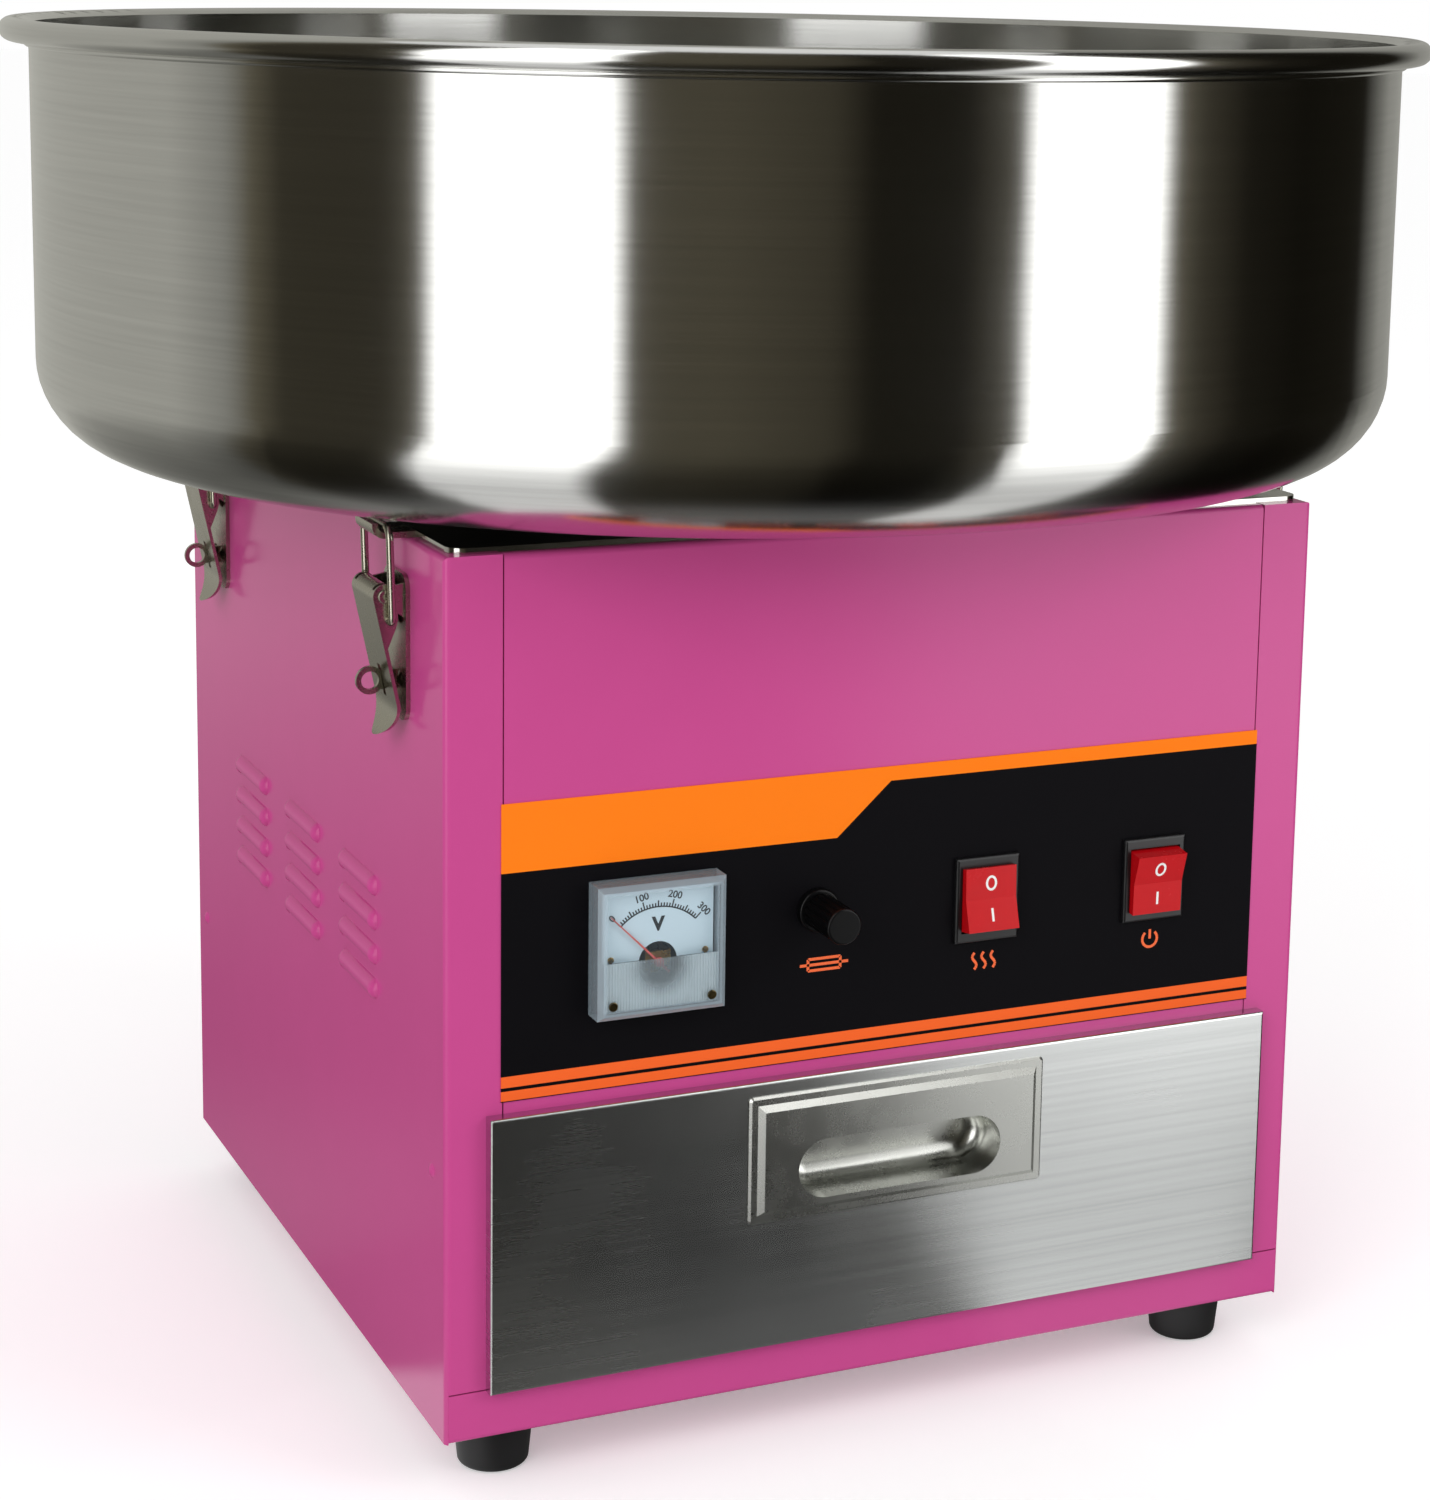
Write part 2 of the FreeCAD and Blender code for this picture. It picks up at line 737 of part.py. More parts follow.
def meter_cover():
    """Clear bevelled cover over the dial."""
    z = cabinet_bottom + meter_z
    face = plate_face - meter_depth
    outer = centred(meter_size, face, plate_face, meter_size, meter_x, z)
    outer = outer.makeChamfer(meter_bevel, edges_where(outer, lambda p: near(p.y, face)))
    base_room = centred(meter_base_size, plate_face - meter_base_thickness, plate_face + overrun,
                        meter_base_size, meter_x, z)
    hollow = centred(meter_size - 2 * meter_wall - meter_bevel, face + meter_wall, plate_face,
                     meter_size - 2 * meter_wall - meter_bevel, meter_x, z)
    return outer.cut([base_room, hollow])


def meter_dial():
    """Dial card on two posts, with an arch for the movement."""
    z = cabinet_bottom + meter_z
    face = plate_face - meter_depth + dial_setback
    card = block(meter_x - dial_width / 2, meter_x + dial_width / 2, face, face + dial_thickness,
                 z + dial_bottom, z + dial_top)
    pivot_z = z - needle_pivot_drop
    back = face + dial_thickness
    arch = rod(dial_arch_radius, V(meter_x, face - overrun, pivot_z), V(meter_x, back + overrun, pivot_z))
    post_x = dial_width / 2 - dial_post_inset
    post_z = z - dial_post_drop
    posts = [rod(needle_hub_radius, V(meter_x + side * post_x, back, post_z),
                 V(meter_x + side * post_x, plate_face - meter_base_thickness, post_z))
             for side in (-1, 1)]
    return join([card.cut(arch)] + posts)


def meter_movement():
    """Moving-coil frame behind the needle: a bridge on two legs round a coil."""
    pivot_z = cabinet_bottom + meter_z - needle_pivot_drop
    face = plate_face - meter_depth + dial_setback
    bridge = centred(movement_width, face, face + movement_leg, movement_height, meter_x, pivot_z)
    end = plate_face + meter_barrel_length - meter_barrel_wall
    legs = [centred(movement_leg, face + movement_leg, end, movement_height,
                    meter_x + side * (movement_width - movement_leg) / 2, pivot_z) for side in (-1, 1)]
    yoke = centred(movement_width, end - movement_leg, end, movement_height, meter_x, pivot_z)
    frame = join([bridge, yoke] + legs)
    room = rod(needle_arbor_radius + running_fit, V(meter_x, face - overrun, pivot_z),
               V(meter_x, face + movement_depth, pivot_z))
    return frame.cut(room)


def meter_needle():
    """Pointer with its arbor and coil, built upright and turned back to zero."""
    pivot = V(meter_x, 0, cabinet_bottom + meter_z - needle_pivot_drop)
    dial_face = plate_face - meter_depth + dial_setback
    y1 = dial_face - needle_gap
    y0 = y1 - needle_thickness
    half = needle_width / 2
    half_tip = needle_tip_width / 2
    pointer = prism([V(-half, y0, -needle_tail), V(half, y0, -needle_tail),
                     V(half_tip, y0, needle_length), V(-half_tip, y0, needle_length)],
                    V(0, needle_thickness, 0))
    hub = rod(needle_hub_radius, V(0, y0, 0), V(0, y1, 0))
    coil_y = dial_face + movement_leg + free_gap
    arbor = rod(needle_arbor_radius, V(0, y1, 0), V(0, coil_y, 0))
    coil_radius = min(movement_coil_radius, movement_width / 2 - movement_leg - free_gap)
    coil = rod(coil_radius, V(0, coil_y, 0), V(0, coil_y + movement_coil_length, 0))
    needle = join([pointer, hub, arbor, coil])
    needle.rotate(V(0, 0, 0), Y_AXIS, -needle_rest_angle)
    needle.translate(pivot)
    return needle


# ---------------------------------------------------------------- fuse
def fuse_holder():
    z = cabinet_bottom + fuse_z
    collar = rod(fuse_collar_radius, V(fuse_x, plate_face - fuse_collar, z), V(fuse_x, plate_face, z))
    front = edges_where(collar, lambda p: near(p.y, plate_face - fuse_collar))
    collar = collar.makeFillet(fuse_cap_edge, front)
    end = plate_face - fuse_collar + fuse_barrel_length
    barrel = rod(fuse_barrel_radius, V(fuse_x, plate_face, z), V(fuse_x, end, z))
    bore = rod(fuse_bore_radius, V(fuse_x, plate_face - fuse_collar - overrun, z),
               V(fuse_x, end - pull_wall, z))
    return join([collar, barrel]).cut(bore)


def fuse_cap():
    """Fluted cap whose hollow stem grips one end of the fuse."""
    z = cabinet_bottom + fuse_z
    seat = plate_face - fuse_collar - free_gap
    face = seat - fuse_cap_length
    knob = rod(fuse_cap_radius, V(fuse_x, face, z), V(fuse_x, seat, z))
    knob = knob.makeFillet(fuse_cap_edge, edges_where(knob, lambda p: near(p.y, face)))
    flutes = []
    for index in range(fuse_cap_flutes):
        angle = 2 * math.pi * index / fuse_cap_flutes
        start = V(fuse_x + fuse_cap_radius * math.cos(angle), face + fuse_flute_start,
                  z + fuse_cap_radius * math.sin(angle))
        flutes.append(rod(fuse_flute_radius, start, start + V(0, fuse_cap_length, 0)))
    stem = rod(fuse_bore_radius - free_gap, V(fuse_x, seat, z), V(fuse_x, seat + fuse_stem_length, z))
    bore = rod(fuse_radius + fuse_ferrule_step + running_fit,
               V(fuse_x, seat + fuse_stem_length - fuse_grip, z),
               V(fuse_x, seat + fuse_stem_length + overrun, z))
    return join([knob.cut(flutes), stem]).cut(bore)


def fuse_link():
    z = cabinet_bottom + fuse_z
    start = plate_face - fuse_collar - free_gap + fuse_stem_length - fuse_grip
    end = start + fuse_length
    glass = rod(fuse_radius, V(fuse_x, start, z), V(fuse_x, end, z))
    ferrules = [rod(fuse_radius + fuse_ferrule_step, V(fuse_x, y, z), V(fuse_x, y + fuse_ferrule_length, z))
                for y in (start, end - fuse_ferrule_length)]
    return join([glass] + ferrules)


# ---------------------------------------------------------------- rocker switches
def switch_pivot(x):
    face = plate_face - bezel_thickness
    return V(x, face + rocker_pivot_depth, cabinet_bottom + switch_z)


def switch_body(x):
    """Bezel and snap-in body with a pocket for the rocker."""
    pivot = switch_pivot(x)
    face = plate_face - bezel_thickness
    bezel = centred(bezel_width, face, plate_face, bezel_height, x, pivot.z)
    bezel = bezel.makeFillet(bezel_corner, edges_where(bezel, lambda p: near(p.y, face)))
    shell = centred(switch_body_width, plate_face, plate_face + switch_body_depth,
                    switch_body_height, x, pivot.z)
    swing = math.radians(rocker_swing)
    reach = rocker_height / 2 * math.cos(swing) + rocker_back * math.sin(swing) + free_gap
    depth = rocker_back * math.cos(swing) + rocker_height / 2 * math.sin(swing) + free_gap
    pocket = centred(rocker_width + 2 * free_gap, face - overrun, pivot.y + depth, 2 * reach, x, pivot.z)
    half_axle = rocker_width / 2 + trunnion_length + free_gap
    reach_x = V(half_axle, 0, 0)
    axle = rod(trunnion_radius + running_fit, pivot - reach_x, pivot + reach_x)
    return join([bezel, shell]).cut([pocket, axle])


def rocker(x, rest_angle):
    """Rocker with a dipped face, tilted to the side it rests on."""
    pivot = switch_pivot(x)
    half = rocker_height / 2
    left = -rocker_width / 2
    outline = [V(left, rocker_back, -half), V(left, rocker_back, half), V(left, -rocker_end, half),
               V(left, rocker_dip - rocker_end, 0), V(left, -rocker_end, -half)]
    key = prism(outline, V(rocker_width, 0, 0))
    half_axle = rocker_width / 2 + trunnion_length
    axle = rod(trunnion_radius, V(-half_axle, 0, 0), V(half_axle, 0, 0))
    key = join([key, axle])
    key.rotate(V(0, 0, 0), X_AXIS, rest_angle)
    key.translate(pivot)
    return key


# ---------------------------------------------------------------- bowl
def bowl():
    """Deep pan with a rolled rim, a ring under the roll and a collared hole in its floor."""
    wall = bowl_sheet
    rim_radius = rim_height / 2
    rim_z = bowl_top - rim_radius
    roll_x = bowl_rim_radius - rim_radius
    ring_top = rim_z - rim_radius + rim_ring_lift
    ring_low = ring_top - rim_ring_height
    flat = bowl_radius - bowl_corner
    turn = math.sqrt(0.5)

    def at(r, z):
        return V(r, 0, z)

    def arc(start, through, end):
        return Part.Arc(start, through, end).toShape()

    outer_turn = at(flat + bowl_corner * turn, bowl_bottom + bowl_corner * (1 - turn))
    inner_turn = at(flat + (bowl_corner - wall) * turn, bowl_floor + (bowl_corner - wall) * (1 - turn))
    hole_low = at(bowl_hole_radius, bowl_bottom)
    floor_low = at(flat, bowl_bottom)
    wall_low = at(bowl_radius, bowl_bottom + bowl_corner)
    ring_start = at(bowl_radius, ring_low)
    ring_end = at(bowl_radius, ring_top)
    roll_low = at(roll_x, rim_z - rim_radius)
    roll_side = at(bowl_rim_radius, rim_z)
    roll_top = at(roll_x, bowl_top)
    inside_top = at(bowl_radius - wall, bowl_top - rim_inner_drop)
    inside_low = at(bowl_radius - wall, bowl_bottom + bowl_corner)
    floor_high = at(flat, bowl_floor)
    collar_foot = at(bowl_hole_radius + wall, bowl_floor)
    collar_out = at(bowl_hole_radius + wall, bowl_bottom + bowl_collar)
    collar_in = at(bowl_hole_radius, bowl_bottom + bowl_collar)
    crown = at((bowl_radius + roll_x) / 2, bowl_top - rim_crown_drop)
    edges = [
        Part.makeLine(hole_low, floor_low),
        arc(floor_low, outer_turn, wall_low),
        Part.makeLine(wall_low, ring_start),
        arc(ring_start, at(bowl_radius + rim_ring_rise, (ring_low + ring_top) / 2), ring_end),
        Part.makeLine(ring_end, roll_low),
        arc(roll_low, roll_side, roll_top),
        arc(roll_top, crown, inside_top),
        Part.makeLine(inside_top, inside_low),
        arc(inside_low, inner_turn, floor_high),
        Part.makeLine(floor_high, collar_foot),
        Part.makeLine(collar_foot, collar_out),
        Part.makeLine(collar_out, collar_in),
        Part.makeLine(collar_in, hole_low),
    ]
    pan = Part.Face(Part.Wire(edges)).revolve(V(0, 0, 0), Z_AXIS, 360)
    return Part.Solid(pan.Shells[0]).cut(bowl_screw_holes(bowl_bottom - overrun, bowl_floor + overrun))


def bowl_screw_places():
    reach = bowl_screw_circle * math.sqrt(0.5)
    return [(x, y) for x in (-reach, reach) for y in (-reach, reach)]


def bowl_screw_holes(z0, z1):
    return [upright(bowl_screw_radius + running_fit, x, y, z0, z1) for x, y in bowl_screw_places()]


def bowl_screw(x, y):
    """Screw down through the bowl's floor and the gasket into the seat plate."""
    shank = upright(bowl_screw_radius, x, y, cabinet_top, bowl_floor)
    head = upright(bowl_screw_head_radius, x, y, bowl_floor, bowl_floor + bowl_screw_head)
    top = edges_where(head, lambda p: near(p.z, bowl_floor + bowl_screw_head))
    head = head.makeFillet(bowl_screw_head / 2, top)
    return join([shank, head])


def seat_plate():
    """Square stainless plate under the bowl."""
    half_x = side_x - seat_inset
    half_y = rear_y - seat_inset
    plate = block(-half_x, half_x, -half_y, half_y, cabinet_top, seat_top)
    plate = plate.makeFillet(seat_corner, edges_along(plate, Z_AXIS))
    hole = upright(seat_hole_radius, 0, 0, cabinet_top - overrun, seat_top + overrun)
    return plate.cut([hole] + bowl_screw_holes(cabinet_top - overrun, seat_top + overrun))


def gasket():
    """Rubber ring that lifts the bowl off its seat plate."""
    return ring(gasket_outer_radius, gasket_inner_radius, seat_top, bowl_bottom).cut(
        bowl_screw_holes(seat_top - overrun, bowl_bottom + overrun))


def keeper():
    """Hook welded to the right edge of the seat plate. A latch's bail lies in it."""
    centre = V(bail_cross_out, 0, bail_cross_z)
    outer = hook_inner + seat_thickness
    strip = block(-seat_inset, bail_cross_out, 0, keeper_width, cabinet_top, seat_top)
    curl = rod(outer, centre, centre + V(0, keeper_width, 0)).cut(
        rod(hook_inner, centre - V(0, overrun, 0), centre + V(0, keeper_width + overrun, 0)))
    curl = curl.common(block(bail_cross_out, bail_cross_out + 2 * outer, 0, keeper_width,
                             cabinet_top, bail_cross_z))
    lip = block(bail_cross_out + hook_inner, bail_cross_out + outer, 0, keeper_width,
                bail_cross_z, bail_cross_z + hook_lip)
    hook = join([strip, curl, lip])
    hook.translate(V(side_x, -keeper_width / 2, 0))
    return hook


# ---------------------------------------------------------------- toggle latches
# Each latch is built with its plate on the plane x = 0, standing out along +X, and centred on
# y = 0. Heights are absolute.
def latch_pivot():
    return V(latch_pivot_out, 0, cabinet_top - latch_pivot_drop)


def both_sides(shape):
    """A shape and its mirror image across the latch's middle."""
    return [shape, shape.mirror(V(0, 0, 0), Y_AXIS)]


def latch_base():
    """Plate with two ears for the lever's pin, and an eye for a padlock."""
    half = latch_base_width / 2
    high = cabinet_top - latch_base_top_drop
    plate = block(0, latch_plate, -half, half, high - latch_base_height, high)
    plate = plate.makeFillet(latch_plate_corner, edges_along(plate, X_AXIS))
    pivot = latch_pivot()
    start = V(0, ear_inner, 0)
    outline = [V(0, 0, pivot.z - ear_drop), V(pivot.x, 0, pivot.z - ear_radius),
               V(pivot.x, 0, pivot.z + ear_radius), V(0, 0, pivot.z + ear_rise)]
    web = prism([point + start for point in outline], V(0, ear_thickness, 0))
    knob = rod(ear_radius, pivot + start, pivot + start + V(0, ear_thickness, 0))
    ear = join([web, knob])
    eye_at = V(eye_out, -eye_thickness / 2, cabinet_top - eye_drop)
    eye = rod(eye_radius, eye_at, eye_at + V(0, eye_thickness, 0))
    neck = block(0, eye_out - eye_hole_radius, -eye_thickness / 2, eye_thickness / 2,
                 eye_at.z - eye_neck / 2, eye_at.z + eye_neck / 2)
    hole = rod(eye_hole_radius, eye_at - V(0, overrun, 0), eye_at + V(0, eye_thickness + overrun, 0))
    pin_hole = rod(latch_pin_radius + running_fit, pivot - V(0, half, 0), pivot + V(0, half, 0))
    rivet_holes = [rod(rivet_radius + running_fit, V(-overrun, y, cabinet_top - drop),
                       V(latch_plate + overrun, y, cabinet_top - drop))
                   for y in (-latch_rivet_spread, latch_rivet_spread)
                   for drop in latch_rivet_drops]
    body = join([plate, eye, neck] + both_sides(ear))
    return body.cut([hole, pin_hole] + rivet_holes)


def lever_sector(angle, half_width):
    """Part of the knuckle that wraps over the pin, up to an angle from the lever's face."""
    tube = rod(lever_outer, V(0, -half_width, 0), V(0, half_width, 0)).cut(
        rod(lever_inner, V(0, -half_width - overrun, 0), V(0, half_width + overrun, 0)))
    reach = 2 * lever_outer
    end = V(reach * math.cos(math.radians(angle)), -half_width, reach * math.sin(math.radians(angle)))
    middle_angle = math.radians(angle / 2)
    middle = V(reach * math.cos(middle_angle), -half_width, reach * math.sin(middle_angle))
    wedge = prism([V(0, -half_width, 0), V(reach, -half_width, 0), middle, end], V(0, 2 * half_width, 0))
    return tube.common(wedge)


def paddle():
    """Thumb end of the lever: curls outward and narrows to a rounded tip."""
    half = latch_base_width / 2
    centre = V(lever_outer + paddle_radius, -half, -lever_length)
    curl = rod(paddle_radius + lever_plate, centre, centre + V(0, 2 * half, 0)).cut(
        rod(paddle_radius, centre - V(0, overrun, 0), centre + V(0, 2 * half + overrun, 0)))
    angle = math.radians(paddle_angle)
    reach = 2 * (paddle_radius + lever_plate)
    tip = centre + V(-reach * math.cos(angle), 0, -reach * math.sin(angle))
    corner = centre + V(-reach, 0, -reach * math.tan(angle / 2))
    wedge = prism([centre, centre + V(-reach, 0, 0), corner, tip], V(0, 2 * half, 0))
    drop = paddle_radius * math.sin(angle)
    leaf = rod(half, V(-half, 0, 0), V(2 * half + reach, 0, 0))
    squash = FreeCAD.Matrix()
    squash.scale(1, 1, drop / half)
    leaf = leaf.transformGeometry(squash)
    leaf.translate(V(0, 0, -lever_length))
    return curl.common(wedge).common(leaf)


def latch_lever():
    """Lever with its cheeks outside the ears and a slot that clears the padlock eye."""
    half = latch_base_width / 2
    face = block(lever_inner, lever_outer, -half, half, -lever_length, 0)
    cheek_outline = [V(lever_outer, 0, 0), V(-lever_outer, 0, 0), V(-lever_inner, 0, -bail_arm),
                     V(-cheek_knee_out, 0, -bail_arm - cheek_knee_drop),
                     V(lever_outer - lever_cheek_depth, 0, -cheek_step_drop),
                     V(lever_outer - lever_cheek_depth, 0, -lever_length + lever_cheek_depth),
                     V(lever_outer, 0, -lever_length)]
    side = prism([point + V(0, cheek_inner, 0) for point in cheek_outline], V(0, lever_cheek, 0))
    disc = rod(lever_outer, V(0, cheek_inner, 0), V(0, cheek_outer, 0))
    cheek = join([side, disc])
    wraps = [lever_sector(lever_wrap_edge, half), lever_sector(lever_wrap_middle, ear_inner - free_gap)]
    body = join([face, paddle()] + both_sides(cheek) + wraps)
    eye_sweep = math.hypot(eye_drop - latch_pivot_drop, eye_out - latch_pivot_out)
    slot_half = eye_thickness / 2 + eye_slot_gap
    slot = block(0, lever_outer + overrun, -slot_half, slot_half, -eye_sweep - eye_radius - eye_slot_gap,
                 -eye_sweep + eye_radius + eye_slot_end_gap)
    across = V(0, half + overrun, 0)
    bail_at = V(0, 0, -bail_arm)
    pin_hole = rod(latch_pin_radius + running_fit, -across, across)
    bail_hole = rod(bail_wire_radius + running_fit, bail_at - across, bail_at + across)
    body = body.cut([slot, pin_hole, bail_hole])
    body.rotate(V(0, 0, 0), Y_AXIS, lever_tilt)
    body.translate(latch_pivot())
    return body


def bail_pivot():
    """Where the bail turns in the lever, with the latch closed."""
    tilt = math.radians(lever_tilt)
    return latch_pivot() + V(-bail_arm * math.sin(tilt), 0, -bail_arm * math.cos(tilt))


def latch_bail():
    """Wire loop: two turned-in ends, two legs and a crossbar that lies in the keeper."""
    foot_at = bail_pivot()
    rise = V(bail_cross_out, 0, bail_cross_z) - foot_at
    length = rise.Length
    bend = bail_foot_bend
    corner = bail_corner
    turn = math.sqrt(0.5)

    def at(y, z):
        return V(0, y, z)

    points = [at(cheek_inner, 0), at(bail_leg - bend, 0), at(bail_leg, bend), at(bail_leg, length - corner),
              at(bail_leg - corner, length)]
    foot_mid = at(bail_leg - bend + bend * turn, bend - bend * turn)
    top_mid = at(bail_leg - corner + corner * turn, length - corner + corner * turn)
    half_edges = [Part.makeLine(points[0], points[1]),
                  Part.Arc(points[1], foot_mid, points[2]).toShape(),
                  Part.makeLine(points[2], points[3]),
                  Part.Arc(points[3], top_mid, points[4]).toShape()]
    crossbar = Part.makeLine(points[4], at(-points[4].y, length))
    far_edges = [edge.mirror(V(0, 0, 0), Y_AXIS) for edge in half_edges]
    path = Part.Wire(Part.__sortEdges__(half_edges + [crossbar] + far_edges))
    start = Part.Wire([Part.makeCircle(bail_wire_radius, points[0], Y_AXIS)])
    wire = path.makePipeShell([start], True, True)
    wire.rotate(V(0, 0, 0), Y_AXIS, math.degrees(math.atan2(rise.x, rise.z)))
    wire.translate(foot_at)
    return wire


def latch_pin():
    """Pin with a dimpled head at each end, outside the lever's cheeks."""
    pivot = latch_pivot()
    cheek = V(0, cheek_outer, 0)
    end = V(0, cheek_outer + latch_pin_head, 0)
    shank = rod(latch_pin_radius, pivot - cheek, pivot + cheek)
    head = rod(latch_pin_head_radius, cheek, end)
    head = head.makeFillet(latch_pin_head / 2, edges_where(head, lambda p: near(p.y, end.y)))
    head = head.cut(rod(latch_pin_dimple_radius, cheek, end + cheek))
    heads = both_sides(head)
    for shape in heads:
        shape.translate(pivot)
    return join([shank] + heads)


def on_side(shape, side, y):
    """Move a shape from the latch's own frame to its place on the cabinet."""
    placed = shape.copy() if side > 0 else mirrored_x(shape)
    placed.translate(V(side * side_x, y, 0))
    return placed


# ---------------------------------------------------------------- motor and slip rings
def stud_places():
    return [(x, y) for x in (-stud_spread, stud_spread) for y in (-stud_spread, stud_spread)]


def hexagon(radius, x, y, z0, z1):
    points = [V(x + radius * math.cos(math.pi * k / 3), y + radius * math.sin(math.pi * k / 3), z0)
              for k in range(6)]
    return prism(points, V(0, 0, z1 - z0))


def motor_stud(x, y):
    """Weld stud under the deck with the nut that holds its rubber bush."""
    nut_top = motor_plate_bottom - bush_flange
    return join([upright(stud_radius, x, y, deck_bottom - stud_length, deck_bottom),
                 hexagon(stud_nut_radius, x, y, nut_top - stud_nut_height, nut_top)])


def motor_bush(x, y):
    """Rubber bush clipped in the motor plate."""
    low = upright(bush_radius, x, y, motor_plate_bottom - bush_flange, motor_plate_bottom)
    neck = upright(bush_neck_radius, x, y, motor_plate_bottom, motor_plate_top)
    high = upright(bush_radius, x, y, motor_plate_top, motor_plate_top + bush_flange)
    bore = upright(stud_radius + running_fit, x, y, motor_plate_bottom - bush_flange - overrun,
                   motor_plate_top + bush_flange + overrun)
    return join([low, neck, high]).cut(bore)


def motor_plate():
    half = motor_plate_size / 2
    plate = block(-half, half, -half, half, motor_plate_bottom, motor_plate_top)
    z0 = motor_plate_bottom - overrun
    z1 = motor_plate_top + overrun
    holes = [upright(bush_neck_radius + running_fit, x, y, z0, z1) for x, y in stud_places()]
    centre = upright(shaft_radius + free_gap, 0, 0, z0, z1)
    return plate.cut(holes + [centre])


def motor_body():
    """Motor case in two pieces: a drum with its upper end, and the lower end shield."""
    low = motor_plate_bottom - motor_height
    shield_top = low + motor_end
    drum = upright(motor_radius, 0, 0, shield_top, motor_plate_bottom)
    cavity = upright(motor_radius - motor_wall, 0, 0, shield_top - overrun, motor_plate_bottom - motor_end)
    shield = upright(motor_radius, 0, 0, low, shield_top)
    shield = shield.makeFillet(motor_edge, edges_where(shield, lambda p: near(p.z, low)))
    bore = upright(shaft_radius + running_fit, 0, 0, low - overrun, motor_plate_bottom + overrun)
    return Part.makeCompound([drum.cut([cavity, bore]), shield.cut(bore)])


def motor_stator():
    """Wound stator, pressed in the drum."""
    low = motor_plate_bottom - (motor_height + stator_height) / 2
    return ring(motor_radius - motor_wall, stator_bore, low, low + stator_height)


def motor_rotor():
    middle = motor_plate_bottom - motor_height / 2
    return ring(stator_bore - rotor_gap, shaft_radius, middle - rotor_height / 2, middle + rotor_height / 2)


def drive_shaft():
    low = motor_plate_bottom - motor_height - shaft_tail
    return upright(shaft_radius, 0, 0, low, shaft_top)


def slip_ring_hub():
    low = motor_plate_top + hub_lift
    return ring(hub_radius, shaft_radius, low, low + hub_height)


def ring_bottoms():
    low = motor_plate_top + hub_lift + ring_offset
    return [low, low + ring_pitch]


def slip_rings():
    return [ring(ring_radius, hub_radius, z, z + ring_height) for z in ring_bottoms()]


def brush_boxes(clearance):
    """Room of each brush, from the slip ring outward."""
    half = brush_width / 2 + clearance
    boxes = []
    for z in ring_bottoms():
        middle = z + ring_height / 2
        start = ring_radius + free_gap
        boxes.append(block(start, start + brush_length + clearance, -half, half,
                           middle - brush_height / 2 - clearance, middle + brush_height / 2 + clearance))
    return boxes


def brush_holder():
    """Insulating block on the motor plate with a pocket for each brush."""
    start = ring_radius + free_gap + brush_out
    low, high = ring_bottoms()
    tower = block(start, start + holder_depth, -holder_width / 2, holder_width / 2,
                  motor_plate_top, high + ring_height + holder_margin)
    return tower.cut(brush_boxes(running_fit))


# ---------------------------------------------------------------- spinner head
def spinner_base():
    """Dish with a hub on the shaft and a low lip for the band."""
    disc = upright(head_radius, 0, 0, head_bottom, head_disc_top)
    lip = ring(head_radius, head_radius - head_wall, head_disc_top, band_bottom)
    hub = upright(head_hub_radius, 0, 0, head_bottom, head_bottom + head_hub_height)
    bore = upright(shaft_radius, 0, 0, head_bottom - overrun, shaft_top)
    return join([disc, lip, hub]).cut(bore)


def heating_element():
    return Part.makeTorus(element_radius, element_wire_radius, V(0, 0, head_disc_top + element_height))


def element_supports():
    """Ceramic posts between the dish and the heating element."""
    posts = []
    for index in range(element_posts):
        angle = 2 * math.pi * index / element_posts
        posts.append(upright(element_post_radius, element_radius * math.cos(angle),
                             element_radius * math.sin(angle), head_disc_top,
                             head_disc_top + element_height - element_wire_radius))
    return posts


def spinner_band():
    """Slotted band that the floss leaves through."""
    band = ring(head_radius, head_radius - band_wall, band_bottom, band_top)
    slots = []
    for index in range(band_slots):
        slot = block(head_radius - band_wall - overrun, head_radius + overrun, -band_slot_width / 2,
                     band_slot_width / 2, band_bottom + band_slot_margin, band_top - band_slot_margin)
        slot.rotate(V(0, 0, 0), Z_AXIS, 360.0 * index / band_slots)
        slots.append(slot)
    return band.cut(slots)


def spinner_cap():
    """Lid with an open throat for the sugar."""
    disc = upright(head_radius + cap_overhang, 0, 0, band_top, band_top + cap_disc)
    collar = upright(cap_throat_radius + cap_disc, 0, 0, band_top, band_top + cap_disc + cap_collar)
    inside = head_radius - band_wall - running_fit
    spigot = ring(inside, inside - cap_disc, band_top - cap_spigot, band_top)
    throat = upright(cap_throat_radius, 0, 0, band_top - overrun,
                     band_top + cap_disc + cap_collar + overrun)
    return join([disc, collar, spigot]).cut(throat)


# ---------------------------------------------------------------- mains side
def power_inlet():
    """Mains inlet socket in the rear panel, with its three pins."""
    z = cabinet_bottom + inlet_z
    flange = centred(inlet_width + 2 * inlet_rim, rear_y, rear_y + inlet_flange,
                     inlet_height + 2 * inlet_rim, inlet_x, z)
    front = edges_where(flange, lambda p: near(p.y, rear_y + inlet_flange))
    flange = flange.makeFillet(inlet_flange / 2, front)
    body = centred(inlet_width, rear_y - inlet_depth, rear_y, inlet_height, inlet_x, z)
    face = rear_y + inlet_flange
    socket = centred(inlet_socket_width, face - inlet_socket_depth, face + overrun,
                     inlet_socket_height, inlet_x, z)
    bottom = face - inlet_socket_depth
    length = V(0, inlet_pin_length, 0)
    starts = [V(inlet_x, bottom, z + inlet_pin_lift)]
    starts += [V(inlet_x + side * inlet_pin_pitch, bottom, z - inlet_pin_lift) for side in (-1, 1)]
    pins = [rod(inlet_pin_radius, start, start + length) for start in starts]
    return join([join([flange, body]).cut(socket)] + pins)


